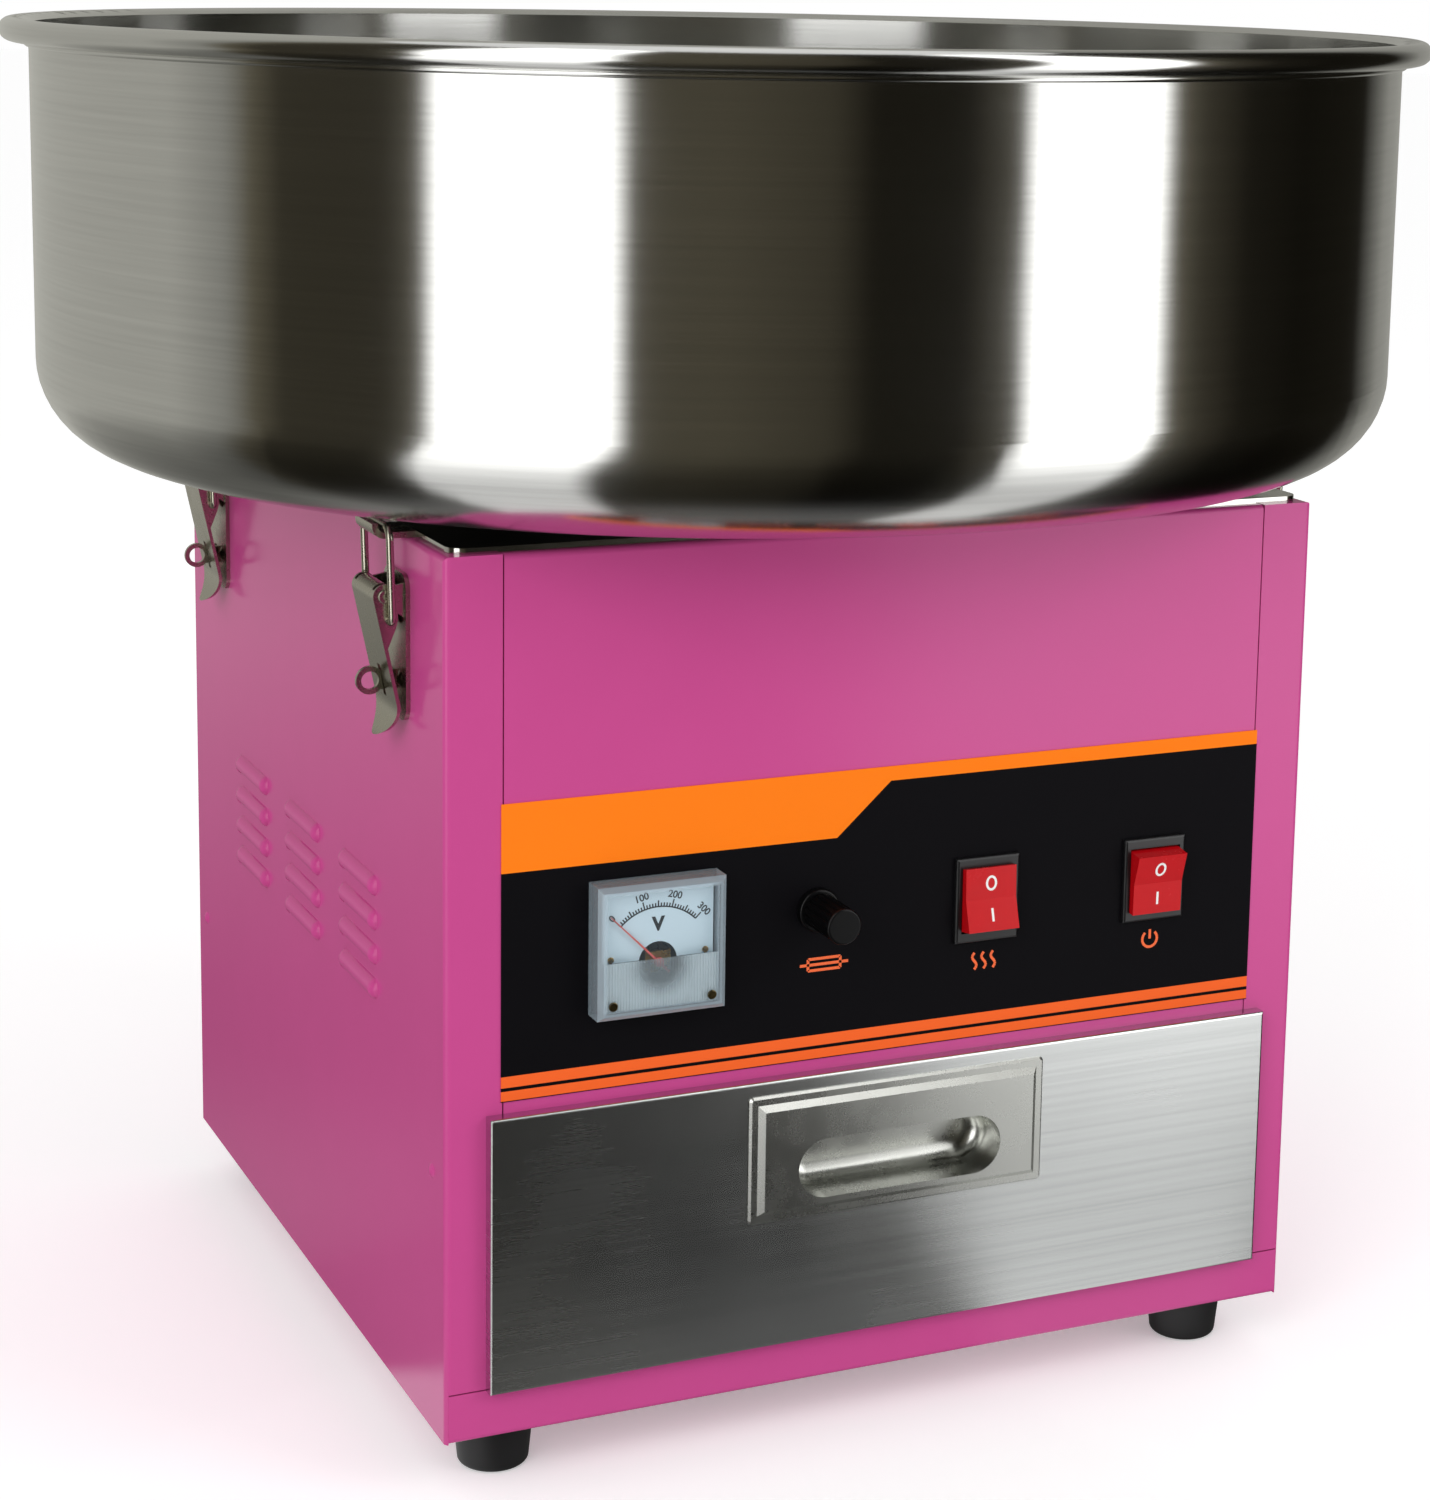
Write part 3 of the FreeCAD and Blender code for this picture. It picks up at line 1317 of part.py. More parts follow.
def terminal_block():
    """Screw terminals on the tray, behind the drawer."""
    width = terminal_ways * terminal_pitch
    low = cabinet_bottom + sheet
    body = block(-width / 2, width / 2, terminal_y - terminal_depth / 2, terminal_y + terminal_depth / 2,
                 low, low + terminal_height)
    wells = [upright(terminal_screw_radius, -width / 2 + (way + 0.5) * terminal_pitch, terminal_y,
                     low + terminal_height - terminal_screw_depth, low + terminal_height + overrun)
             for way in range(terminal_ways)]
    return body.cut(wells)


# ---------------------------------------------------------------- everything
def build():
    os.makedirs("parts", exist_ok=True)
    right = side_panel()
    save("base_tray", base_tray())
    save("right_side_panel", right)
    save("left_side_panel", mirrored_x(right))
    save("front_panel", front_panel())
    save("rear_panel", rear_panel())
    save("top_deck", top_deck())
    save("control_plate", control_plate())
    save("rubber_feet", Part.makeCompound([foot(x, y) for x, y in foot_places()]))
    save("foot_screws", Part.makeCompound([foot_screw(x, y) for x, y in foot_places()]))
    rivets = [rivet(side_x, y, z) for y, z in side_rivet_places()]
    save("side_rivets", Part.makeCompound(rivets + [mirrored_x(shape) for shape in rivets]))
    rivets = [rivet(side_x + latch_plate, y, z) for y, z in latch_rivet_places()]
    save("latch_rivets", Part.makeCompound(rivets + [mirrored_x(shape) for shape in rivets]))

    save("drawer_front", drawer_front())
    save("drawer_box", drawer_box())
    save("drawer_pull", drawer_pull())
    runner = drawer_runner()
    save("drawer_runners", Part.makeCompound([runner, mirrored_x(runner)]))

    save("meter_body", meter_body())
    save("meter_cover", meter_cover())
    save("meter_dial", meter_dial())
    save("meter_movement", meter_movement())
    save("meter_needle", meter_needle())
    save("fuse_holder", fuse_holder())
    save("fuse_cap", fuse_cap())
    save("fuse_link", fuse_link())
    save("heat_switch_body", switch_body(heat_switch_x))
    save("heat_rocker", rocker(heat_switch_x, -rocker_swing))
    save("power_switch_body", switch_body(power_switch_x))
    save("power_rocker", rocker(power_switch_x, rocker_swing))

    save("seat_plate", seat_plate())
    save("bowl_gasket", gasket())
    save("bowl", bowl())
    save("bowl_screws", Part.makeCompound([bowl_screw(x, y) for x, y in bowl_screw_places()]))
    hook = keeper()
    hooks = []
    for side in (-1, 1):
        for y in (-latch_y, latch_y):
            placed = hook.copy() if side > 0 else mirrored_x(hook)
            placed.translate(V(0, y, 0))
            hooks.append(placed)
    save("bowl_hooks", Part.makeCompound(hooks))

    lever = latch_lever()
    bail = latch_bail()
    for name, (side, y) in LATCHES.items():
        save("latch_lever_" + name, on_side(lever, side, y))
        save("latch_bail_" + name, on_side(bail, side, y))
    for name, piece in (("latch_bases", latch_base()), ("latch_pins", latch_pin())):
        save(name, Part.makeCompound([on_side(piece, side, y) for side, y in LATCHES.values()]))

    save("motor_studs", Part.makeCompound([motor_stud(x, y) for x, y in stud_places()]))
    save("motor_bushes", Part.makeCompound([motor_bush(x, y) for x, y in stud_places()]))
    save("motor_plate", motor_plate())
    save("motor_body", motor_body())
    save("motor_stator", motor_stator())
    save("motor_rotor", motor_rotor())
    save("drive_shaft", drive_shaft())
    save("slip_ring_hub", slip_ring_hub())
    save("slip_rings", Part.makeCompound(slip_rings()))
    save("carbon_brushes", Part.makeCompound(brush_boxes(0)))
    save("brush_holder", brush_holder())

    save("spinner_base", spinner_base())
    save("heating_element", heating_element())
    save("element_supports", Part.makeCompound(element_supports()))
    save("spinner_band", spinner_band())
    save("spinner_cap", spinner_cap())

    save("power_inlet", power_inlet())
    save("terminal_block", terminal_block())


build()
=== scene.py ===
"""Finishes, fine detail, light and camera for an electric candy floss machine.

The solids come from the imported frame. This script gives every solid its real finish, and models
the small pieces that the solids leave out: the panel's print, the meter's scale and cover detail,
and the marks on the rocker switches.
"""
import json
import logging
import math
from dataclasses import dataclass, field
from enum import Enum
from typing import Optional

import bpy
from mathutils import Matrix, Vector


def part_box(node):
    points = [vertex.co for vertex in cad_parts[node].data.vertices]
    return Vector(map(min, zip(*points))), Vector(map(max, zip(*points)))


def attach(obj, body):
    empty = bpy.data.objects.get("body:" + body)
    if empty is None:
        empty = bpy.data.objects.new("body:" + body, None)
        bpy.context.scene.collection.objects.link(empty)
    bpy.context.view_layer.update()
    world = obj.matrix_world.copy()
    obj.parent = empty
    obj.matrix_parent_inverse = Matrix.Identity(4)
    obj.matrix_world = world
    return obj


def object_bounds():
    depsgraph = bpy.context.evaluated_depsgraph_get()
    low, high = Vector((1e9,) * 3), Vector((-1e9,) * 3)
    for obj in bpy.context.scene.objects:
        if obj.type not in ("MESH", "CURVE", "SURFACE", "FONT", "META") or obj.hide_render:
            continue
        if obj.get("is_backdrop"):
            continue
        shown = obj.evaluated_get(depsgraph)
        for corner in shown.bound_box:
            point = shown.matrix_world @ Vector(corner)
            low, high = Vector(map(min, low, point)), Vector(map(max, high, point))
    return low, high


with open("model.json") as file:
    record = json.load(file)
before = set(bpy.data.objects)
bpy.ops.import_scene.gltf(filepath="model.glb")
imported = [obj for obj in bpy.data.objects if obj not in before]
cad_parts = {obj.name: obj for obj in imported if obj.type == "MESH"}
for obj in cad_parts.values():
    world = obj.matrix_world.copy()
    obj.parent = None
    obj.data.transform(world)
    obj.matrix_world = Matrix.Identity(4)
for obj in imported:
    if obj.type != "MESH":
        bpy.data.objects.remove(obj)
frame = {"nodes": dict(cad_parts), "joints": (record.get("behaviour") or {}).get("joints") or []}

LOG = logging.getLogger("candy_floss_machine")
MM = 0.001
CABINET = "cabinet"
# How much of its strength each finer octave of a noise keeps, and the octaves of grains and patches.
OCTAVE_KEEPS = 0.55
GRAIN_OCTAVES = 3.0
PATCH_OCTAVES = 2.0
BUMP_STRENGTH = 0.5
# The roughness follows the patches plus this share of the grain. Their sum spans this range.
GRAIN_SHARE = 0.5
GRAIN_AND_PATCH = (0.35, 1.15)
LOWEST_ROUGHNESS = 0.01
# Bevel of a printed stroke's edge, as a share of its thickness.
STROKE_EDGE = 1 / 4

Colour = tuple[float, float, float, float]
Settings = dict[object, object]


# ---------------------------------------------------------------- node and colour helpers
def linear(code: str) -> Colour:
    """Turn an sRGB hex colour into linear light.

    Args:
        code: colour such as "#C44F90".

    Returns:
        Linear red, green, blue and an alpha of 1.
    """
    channels = []
    # The sRGB standard's curve: a straight foot, then a power.
    for start in (1, 3, 5):
        value = int(code[start:start + 2], 16) / 255
        channels.append(value / 12.92 if value <= 0.04045 else ((value + 0.055) / 1.055) ** 2.4)
    return (channels[0], channels[1], channels[2], 1.0)


def shaded(code: str, factor: float) -> Colour:
    """Lighten or darken a hex colour.

    Args:
        code: sRGB hex colour.
        factor: share of the colour's linear light that is kept.

    Returns:
        The linear colour, no channel above 1.
    """
    red, green, blue, alpha = linear(code)
    return (min(red * factor, 1.0), min(green * factor, 1.0), min(blue * factor, 1.0), alpha)


def add_node(tree: bpy.types.NodeTree, kind: str, settings: Optional[Settings] = None,
             links: Optional[Settings] = None) -> bpy.types.Node:
    """Add one shader node.

    Args:
        tree: node tree that takes the node.
        kind: node type without its "ShaderNode" prefix.
        settings: node properties by name, or input values by socket name or number.
        links: output sockets by the name or number of the input that they feed.

    Returns:
        The new node.
    """
    node = tree.nodes.new("ShaderNode" + kind)
    for key, value in (settings or {}).items():
        if isinstance(key, str) and hasattr(node, key):
            setattr(node, key, value)
        else:
            node.inputs[key].default_value = value
    for key, socket in (links or {}).items():
        tree.links.new(socket, node.inputs[key])
    return node


# ---------------------------------------------------------------- finishes
class Lay(Enum):
    """The way a surface's grain runs: how far it is drawn out along X, Y and Z."""

    EVEN = (1.0, 1.0, 1.0)
    ALONG_X = (400.0, 400.0, 1.0)
    ALONG_Y = (1.0, 70.0, 1.0)
    AROUND_Z = (90.0, 90.0, 1.0)


@dataclass(frozen=True)
class Finish:
    """One real material with the surface that its making leaves.

    Attributes:
        name: the material's common name and process.
        colour: sRGB colour under plain white light.
        roughness: mean roughness.
        metallic: 1 for bare metal.
        lay: the grain's direction.
        grain_mm: width of one grain or scratch.
        grain_depth_mm: depth that the grain's bump stands for.
        shade: share by which patches differ in lightness.
        patch_mm: size of those patches.
        roughness_spread: how far the grain changes the roughness.
        sockets: values for the shader's own sockets.
    """

    name: str
    colour: str
    roughness: float
    metallic: float = 0.0
    lay: Lay = Lay.EVEN
    grain_mm: float = 0.8
    grain_depth_mm: float = 0.01
    shade: float = 0.06
    patch_mm: float = 45.0
    roughness_spread: float = 0.05
    sockets: tuple[tuple[str, float], ...] = ()

    def material(self) -> bpy.types.Material:
        """Make this finish's material on first use.

        Returns:
            The material.
        """
        known = bpy.data.materials.get(self.name)
        if known is not None:
            return known
        material = bpy.data.materials.new(self.name)
        material.use_nodes = True
        tree = material.node_tree
        tree.nodes.clear()
        place = add_node(tree, "TexCoord").outputs["Object"]
        grain = self.grain(tree, place)
        patch = self.noise(tree, place, self.patch_mm, Lay.EVEN, PATCH_OCTAVES)
        shader = add_node(tree, "BsdfPrincipled", {"Metallic": self.metallic, **dict(self.sockets)}, {
            "Base Color": self.colour_socket(tree, place, patch),
            "Roughness": self.roughness_socket(tree, grain, patch),
            "Normal": self.bump_socket(tree, grain),
        })
        self.extra_links(tree, shader)
        add_node(tree, "OutputMaterial", links={"Surface": shader.outputs[0]})
        return material

    def noise(self, tree: bpy.types.NodeTree, place: bpy.types.NodeSocket, size_mm: float,
              lay: Lay, detail: float) -> bpy.types.NodeSocket:
        """Add a noise with features of a real size.

        Args:
            tree: the material's tree.
            place: coordinates in metres.
            size_mm: feature size across the lay.
            lay: direction in which features are drawn out.
            detail: number of finer octaves.

        Returns:
            The noise's value, from 0 to 1.
        """
        scale = [1 / (size_mm * MM * stretch) for stretch in lay.value]
        turned = add_node(tree, "Mapping", {"Scale": scale}, {"Vector": place})
        return add_node(tree, "TexNoise", {"Scale": 1.0, "Detail": detail, "Roughness": OCTAVE_KEEPS},
                        {"Vector": turned.outputs[0]}).outputs["Fac"]

    def grain(self, tree: bpy.types.NodeTree, place: bpy.types.NodeSocket) -> bpy.types.NodeSocket:
        """Return the surface's fine grain."""
        return self.noise(tree, place, self.grain_mm, self.lay, GRAIN_OCTAVES)

    def colour_socket(self, tree: bpy.types.NodeTree, place: bpy.types.NodeSocket,
                      patch: bpy.types.NodeSocket) -> bpy.types.NodeSocket:
        """Add the colour, which wanders a little from patch to patch.

        Args:
            tree: the material's tree.
            place: coordinates in metres, for a finish with a pattern of its own.
            patch: the patches' value, from 0 to 1.

        Returns:
            The colour.
        """
        return add_node(tree, "MixRGB", {
            "Color1": shaded(self.colour, 1 - self.shade),
            "Color2": shaded(self.colour, 1 + self.shade),
        }, {"Fac": patch}).outputs[0]

    def roughness_socket(self, tree: bpy.types.NodeTree, grain: bpy.types.NodeSocket,
                         patch: bpy.types.NodeSocket) -> bpy.types.NodeSocket:
        """Add the roughness: the mean, moved by the grain and by worn or handled patches.

        Args:
            tree: the material's tree.
            grain: the grain's value, from 0 to 1.
            patch: the patches' value, from 0 to 1.

        Returns:
            The roughness.
        """
        both = add_node(tree, "Math", {"operation": "MULTIPLY_ADD", 1: GRAIN_SHARE}, {0: grain, 2: patch})
        return add_node(tree, "MapRange", {
            "From Min": GRAIN_AND_PATCH[0], "From Max": GRAIN_AND_PATCH[1],
            "To Min": max(self.roughness - self.roughness_spread, LOWEST_ROUGHNESS),
            "To Max": self.roughness + self.roughness_spread,
        }, {"Value": both.outputs[0]}).outputs[0]

    def bump_socket(self, tree: bpy.types.NodeTree,
                    grain: bpy.types.NodeSocket) -> bpy.types.NodeSocket:
        """Return the normal, tipped by the grain."""
        return add_node(tree, "Bump", {"Strength": BUMP_STRENGTH, "Distance": self.grain_depth_mm * MM},
                        {"Height": grain}).outputs[0]

    def extra_links(self, tree: bpy.types.NodeTree, shader: bpy.types.Node) -> None:
        """Add what a kind of finish needs beyond colour, roughness and bump."""

    def dress(self, *nodes: str) -> None:
        """Give this finish to CAD nodes.

        Args:
            nodes: their names.
        """
        for node in nodes:
            for material_slot in frame["nodes"][node].material_slots:
                material_slot.material = self.material()


@dataclass(frozen=True)
class BrushedFinish(Finish):
    """Metal brushed level, round the Z axis or along a flat wall.

    Where the sockets ask for it, its gloss is drawn out across the scratches, up and down. The shader
    draws it out along the tangent, so the tangent runs level and the sockets give it a quarter turn.

    Attributes:
        streak_mm: width of a bundle of scratches that looks lighter or darker than the next.
    """

    streak_mm: float = 1.6

    def colour_socket(self, tree: bpy.types.NodeTree, place: bpy.types.NodeSocket,
                      patch: bpy.types.NodeSocket) -> bpy.types.NodeSocket:
        """Return the colour, which changes from streak to streak."""
        streaks = self.noise(tree, place, self.streak_mm, self.lay, GRAIN_OCTAVES)
        return super().colour_socket(tree, place, streaks)

    def extra_links(self, tree: bpy.types.NodeTree, shader: bpy.types.Node) -> None:
        """Run the shader's tangent level, round the Z axis."""
        tangent = add_node(tree, "Tangent", {"direction_type": "RADIAL", "axis": "Z"})
        tree.links.new(tangent.outputs[0], shader.inputs["Tangent"])


@dataclass(frozen=True)
class PrintedFilm(Finish):
    """Black film with an orange header block and orange stripes.

    Attributes:
        print_colour: the header's colour.
        stripe_colour: the lower stripes' colour.
        header_drop_mm: height of the header block, from the plate's upper edge.
        header_end_mm: X where the header's slanted end meets its lower edge.
        slant: how far the slanted end runs to the right for each millimetre up.
        rule_mm: heights below the plate's upper edge between which the thin rule runs.
        stripes_mm: bottoms and tops of the lower stripes above the plate's lower edge.
    """

    print_colour: str = "#FF7F16"
    stripe_colour: str = "#F2652A"
    header_drop_mm: float = 23.0
    header_end_mm: float = -23.0
    slant: float = 1.1
    rule_mm: tuple[float, float] = (-1.0, 5.0)
    stripes_mm: tuple[tuple[float, float], ...] = ((0.3, 3.6), (4.8, 8.6))

    def colour_socket(self, tree: bpy.types.NodeTree, place: bpy.types.NodeSocket,
                      patch: bpy.types.NodeSocket) -> bpy.types.NodeSocket:
        """Add black, with the header and stripes printed where they lie on the plate.

        Args:
            tree: the material's tree.
            place: coordinates in metres.
            patch: the patches' value, from 0 to 1.

        Returns:
            The colour.
        """
        low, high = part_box("control_plate")
        split = add_node(tree, "SeparateXYZ", links={0: place}).outputs
        base = super().colour_socket(tree, place, patch)
        header_z = high.z - self.header_drop_mm * MM
        header = add_node(tree, "Math", {"operation": "GREATER_THAN", 1: header_z}, {0: split["Z"]})
        end = add_node(tree, "Math", {"operation": "MULTIPLY_ADD", 1: -self.slant},
                       {0: split["Z"], 2: split["X"]})
        left = add_node(tree, "Math", {"operation": "LESS_THAN",
                                       1: self.header_end_mm * MM - self.slant * header_z},
                        {0: end.outputs[0]})
        block = add_node(tree, "Math", {"operation": "MULTIPLY"}, {0: header.outputs[0], 1: left.outputs[0]})
        rule_top, rule_bottom = (high.z - drop * MM for drop in self.rule_mm)
        rule = add_node(tree, "Math", {
            "operation": "COMPARE", 1: (rule_top + rule_bottom) / 2, 2: (rule_top - rule_bottom) / 2,
        }, {0: split["Z"]})
        orange = add_node(tree, "Math", {"operation": "MAXIMUM"}, {0: block.outputs[0], 1: rule.outputs[0]})
        base = add_node(tree, "MixRGB", {"Color2": linear(self.print_colour)},
                        {"Fac": orange.outputs[0], "Color1": base}).outputs[0]
        for bottom, top in self.stripes_mm:
            stripe = add_node(tree, "Math", {
                "operation": "COMPARE", 1: low.z + (bottom + top) / 2 * MM, 2: (top - bottom) / 2 * MM,
            }, {0: split["Z"]})
            base = add_node(tree, "MixRGB", {"Color2": linear(self.stripe_colour)},
                            {"Fac": stripe.outputs[0], "Color1": base}).outputs[0]
        return base


class Outline(Enum):
    """Shape of the area round a part's middle that lets more light through."""

    ROUND = "round"
    SQUARE = "square"


@dataclass(frozen=True)
class SeeThrough(Finish):
    """Clear plastic of the meter's cover, clearer in its middle than at its border.

    Attributes:
        outline: shape of the clearer middle.
        middle_drop_mm: the clearer middle's place below the cover's middle.
        middle_alpha: how much the middle hides.
        border_alpha: how much the border hides. On the clear cover this is painted light, a pale border that
            stands in for the light gathered in its thick walls; on the frosted window it is the frosting
            itself.
        border_mm: distances from the middle where the border begins and is full.
    """

    outline: Outline = Outline.ROUND
    middle_drop_mm: float = 0.0
    middle_alpha: float = 0.1
    border_alpha: float = 0.5
    border_mm: tuple[float, float] = (19.0, 20.0)

    def extra_links(self, tree: bpy.types.NodeTree, shader: bpy.types.Node) -> None:
        """Run the shader's alpha from the middle to the border.

        Args:
            tree: the material's tree.
            shader: its shader.
        """
        low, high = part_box("meter_cover")
        middle = (low + high) / 2 - Vector((0, 0, self.middle_drop_mm * MM))
        place = add_node(tree, "TexCoord").outputs["Object"]
        offset = add_node(tree, "VectorMath", {"operation": "SUBTRACT", 1: middle}, {0: place}).outputs[0]
        split = add_node(tree, "SeparateXYZ", links={0: offset}).outputs
        if self.outline is Outline.SQUARE:
            across, up = (add_node(tree, "Math", {"operation": "ABSOLUTE"}, {0: split[axis]}).outputs[0]
                          for axis in ("X", "Z"))
            away = add_node(tree, "Math", {"operation": "MAXIMUM"}, {0: across, 1: up}).outputs[0]
        else:
            flat = add_node(tree, "CombineXYZ", links={"X": split["X"], "Z": split["Z"]}).outputs[0]
            away = add_node(tree, "VectorMath", {"operation": "LENGTH"}, {0: flat}).outputs["Value"]
        start, full = self.border_mm
        # On the clear cover, the border's higher alpha and pale colour are a painted highlight for the light
        # in its thick walls.
        alpha = add_node(tree, "MapRange", {
            "interpolation_type": "SMOOTHSTEP", "From Min": start * MM, "From Max": full * MM,
            "To Min": self.middle_alpha, "To Max": self.border_alpha,
        }, {"Value": away})
        tree.links.new(alpha.outputs[0], shader.inputs["Alpha"])


# Gloss polyester powder on sheet steel: cures to a hard film with a faint orange peel.
POWDER_COAT = Finish("powder coated steel", "#C74B8E", 0.16, grain_mm=2.6, grain_depth_mm=0.012,
                     shade=0.025, roughness_spread=0.03, sockets=(("Specular IOR Level", 0.25),))
# A fine level lay draws every light out into a tall upright band.
FINE_LAY = (("Anisotropic", 0.9), ("Anisotropic Rotation", 0.25))
# Where the strokes of a coarser brush cross, the band is shorter and softer.
CROSSED_LAY = (("Anisotropic", 0.5), ("Anisotropic Rotation", 0.25))
# Stainless sheet spun and brushed round the bowl's axis: bright upright bands with level streaks. The
# scratches are drawn several times wider than the real 0.05 mm ones, so that they show.
BRUSHED_BOWL = BrushedFinish("stainless steel, brushed round", "#D0D0CD", 0.15, 1.0, Lay.AROUND_Z, 0.4,
                             0.001, 0.12, 60.0, 0.03, FINE_LAY)
# Stainless sheet with a straight lay: softer, greyer bands with long level streaks. Its scratches are
# drawn 0.7 mm wide, far wider than the real ones, so that they show.
BRUSHED_SHEET = BrushedFinish("stainless steel, brushed straight", "#CACCCB", 0.26, 1.0, Lay.ALONG_X,
                              0.7, 0.0003, 0.14, 50.0, 0.04, CROSSED_LAY)
# The same sheet pressed to a cup: the press leaves it duller and without a lay.
PRESSED_SHEET = Finish("stainless steel, pressed", "#C4C5C0", 0.27, 1.0, Lay.EVEN, 0.8, 0.0006, 0.08,
                       14.0, 0.05)
# Bright rolled stainless sheet: near mirror, with a faint lay.
ROLLED_SHEET = Finish("stainless steel, bright rolled", "#BDBBB6", 0.12, 1.0, Lay.ALONG_Y, 0.8, 0.003,
                      0.04, 60.0, 0.04)
# Nickel over pressed steel: slightly yellow, softly bright, pressed edges left rounded.
NICKEL_PLATE = Finish("nickel plated steel", "#ADA99A", 0.26, 1.0, Lay.EVEN, 1.2, 0.008, 0.1, 9.0, 0.08)
# Zinc on sheet steel: a dull blue-grey with faint crystals about 5 mm wide.
ZINC_SHEET = Finish("galvanised steel sheet", "#AEB2B4", 0.42, 1.0, Lay.EVEN, 5.0, 0.004, 0.12, 9.0, 0.1)
# Steel bar ground round: plain grey, with level rings drawn wider than real so that they show.
GROUND_BAR = BrushedFinish("ground steel bar", "#A9A9A8", 0.22, 1.0, Lay.AROUND_Z, 0.4, 0.004)
# Aluminium as cast: light grey and dull, with a fine pitted grain.
CAST_ALUMINIUM = Finish("cast aluminium", "#A8AAAB", 0.45, 1.0, Lay.EVEN, 1.1, 0.05, 0.08, 14.0, 0.08)
# Silicon steel sheets of 0.5 mm in a stack: dark and dull, with fine level lines about a sheet wide.
STACKED_STEEL = Finish("stacked silicon steel", "#54565A", 0.5, 1.0, Lay.AROUND_Z, 0.5, 0.05, 0.1)
# Brass turned and left bare: warm yellow with a soft shine.
PLAIN_BRASS = Finish("turned brass", "#B58F4A", 0.28, 1.0, Lay.EVEN, 0.6, 0.004, 0.08, 5.0)
# Brass passivated as on small instrument screws: brown and blotchy, with little shine.
OLD_BRASS = Finish("passivated brass", "#7A6A45", 0.3, 1.0, Lay.EVEN, 0.6, 0.004, 0.15, 2.0)
# Rubber from a spark-eroded mould: matt black with a fine even texture.
MOULDED_RUBBER = Finish("moulded rubber", "#151516", 0.55, grain_mm=0.7, grain_depth_mm=0.03)
# Polyester film with matt printing inks: an even, slightly textured face with hardly any gloss.
PRINTED_FILM = PrintedFilm("screen printed film", "#0D0C0F", 0.55, grain_mm=0.6, grain_depth_mm=0.006,
                           shade=0.1, sockets=(("Specular IOR Level", 0.05),))
# ABS from a smooth mould: black with a soft sheen.
MOULDED_ABS = Finish("moulded black ABS", "#131315", 0.34, grain_mm=0.6, grain_depth_mm=0.01)
# Phenolic resin pressed hot: the deepest black, with a tight and weak gloss.
PHENOLIC = Finish("moulded black phenolic", "#0A0A0B", 0.3, grain_mm=0.5, grain_depth_mm=0.006,
                  sockets=(("Specular IOR Level", 0.2),))
# Clear polystyrene: hard, bright faces that let the dial show. Its pale border is painted light:
# a painted highlight that stands in for the light that the cover's thick walls gather.
CLEAR_STYRENE = SeeThrough("moulded clear polystyrene", "#B7C8D2", 0.06, grain_mm=3.0, grain_depth_mm=0.004,
                           shade=0.03, patch_mm=12.0, roughness_spread=0.02, sockets=(("IOR", 1.59),),
                           outline=Outline.SQUARE, middle_alpha=0.035, border_alpha=0.45,
                           border_mm=(19.2, 20.2))
# The same plastic with a frosted face: it hides all but the movement close behind it.
FROSTED_STYRENE = SeeThrough("moulded frosted polystyrene", "#B3C3CA", 0.35, grain_mm=0.6,
                             grain_depth_mm=0.02, shade=0.08, patch_mm=4.0, sockets=(("IOR", 1.59),),
                             middle_drop_mm=5.5, middle_alpha=0.14, border_alpha=0.86, border_mm=(5.0, 13.0))
# Card printed pale blue all over: matt, with hardly any variation.
DIAL_CARD = Finish("printed dial card", "#BCD2DD", 0.6, grain_mm=0.5, grain_depth_mm=0.004, shade=0.02)
# Red polycarbonate from a smooth mould, its lamp off: a deep, even red with a small bright gloss.
ROCKER_RED = Finish("moulded red polycarbonate", "#BE0A14", 0.25, grain_mm=1.4, grain_depth_mm=0.004,
                    shade=0.06, patch_mm=8.0, sockets=(("Specular IOR Level", 0.2),))
# Enamel on a thin aluminium pointer: a flat brick red with a low sheen.
NEEDLE_RED = Finish("enamelled aluminium", "#C4524A", 0.4, grain_mm=0.4, grain_depth_mm=0.002)
# Drawn glass tube with plated caps: one pale, bright surface, which shows only with the cap drawn out.
FUSE_GLASS = Finish("drawn glass, plated caps", "#D5D9DA", 0.1, 0.3, grain_mm=1.0, grain_depth_mm=0.002,
                    sockets=(("IOR", 1.5),))
# Carbon powder pressed to a block: near black and slightly metallic, with an open grain.
PRESSED_CARBON = Finish("pressed carbon", "#1E1E20", 0.5, 0.2, grain_mm=0.4, grain_depth_mm=0.03)
# Steel tube browned by its own heat: dull, with blotches of darker oxide.
HEATER_SHEATH = Finish("oxidised steel", "#4C4742", 0.5, 0.8, grain_mm=0.8, grain_depth_mm=0.02,
                       shade=0.2, patch_mm=12.0)
# Steatite fired without a glaze: off-white and almost matt.
FIRED_CERAMIC = Finish("fired steatite", "#E6E0D3", 0.4, grain_mm=0.6, grain_depth_mm=0.01)
# Nylon from a smooth mould: cream and slightly waxy.
CREAM_NYLON = Finish("moulded cream nylon", "#DDD4BC", 0.5, grain_mm=0.6, grain_depth_mm=0.01)
# Printing inks: flat, even colours with a low sheen.
WHITE_INK = Finish("white printing ink", "#F1F1EF", 0.5, grain_mm=0.4, grain_depth_mm=0.002, shade=0.02)
ORANGE_INK = Finish("orange printing ink", "#F2652A", 0.45, grain_mm=0.4, grain_depth_mm=0.002, shade=0.03)
BLACK_INK = Finish("black printing ink", "#17181C", 0.5, grain_mm=0.4, grain_depth_mm=0.002, shade=0.03)


# ---------------------------------------------------------------- modelling helpers
def select_only(*objects: bpy.types.Object) -> None:
    """Select these objects and nothing else, and make the first one active.

    Args:
        objects: the objects.
    """
    bpy.ops.object.select_all(action="DESELECT")
    for piece in objects:
        piece.select_set(True)
    bpy.context.view_layer.objects.active = objects[0]


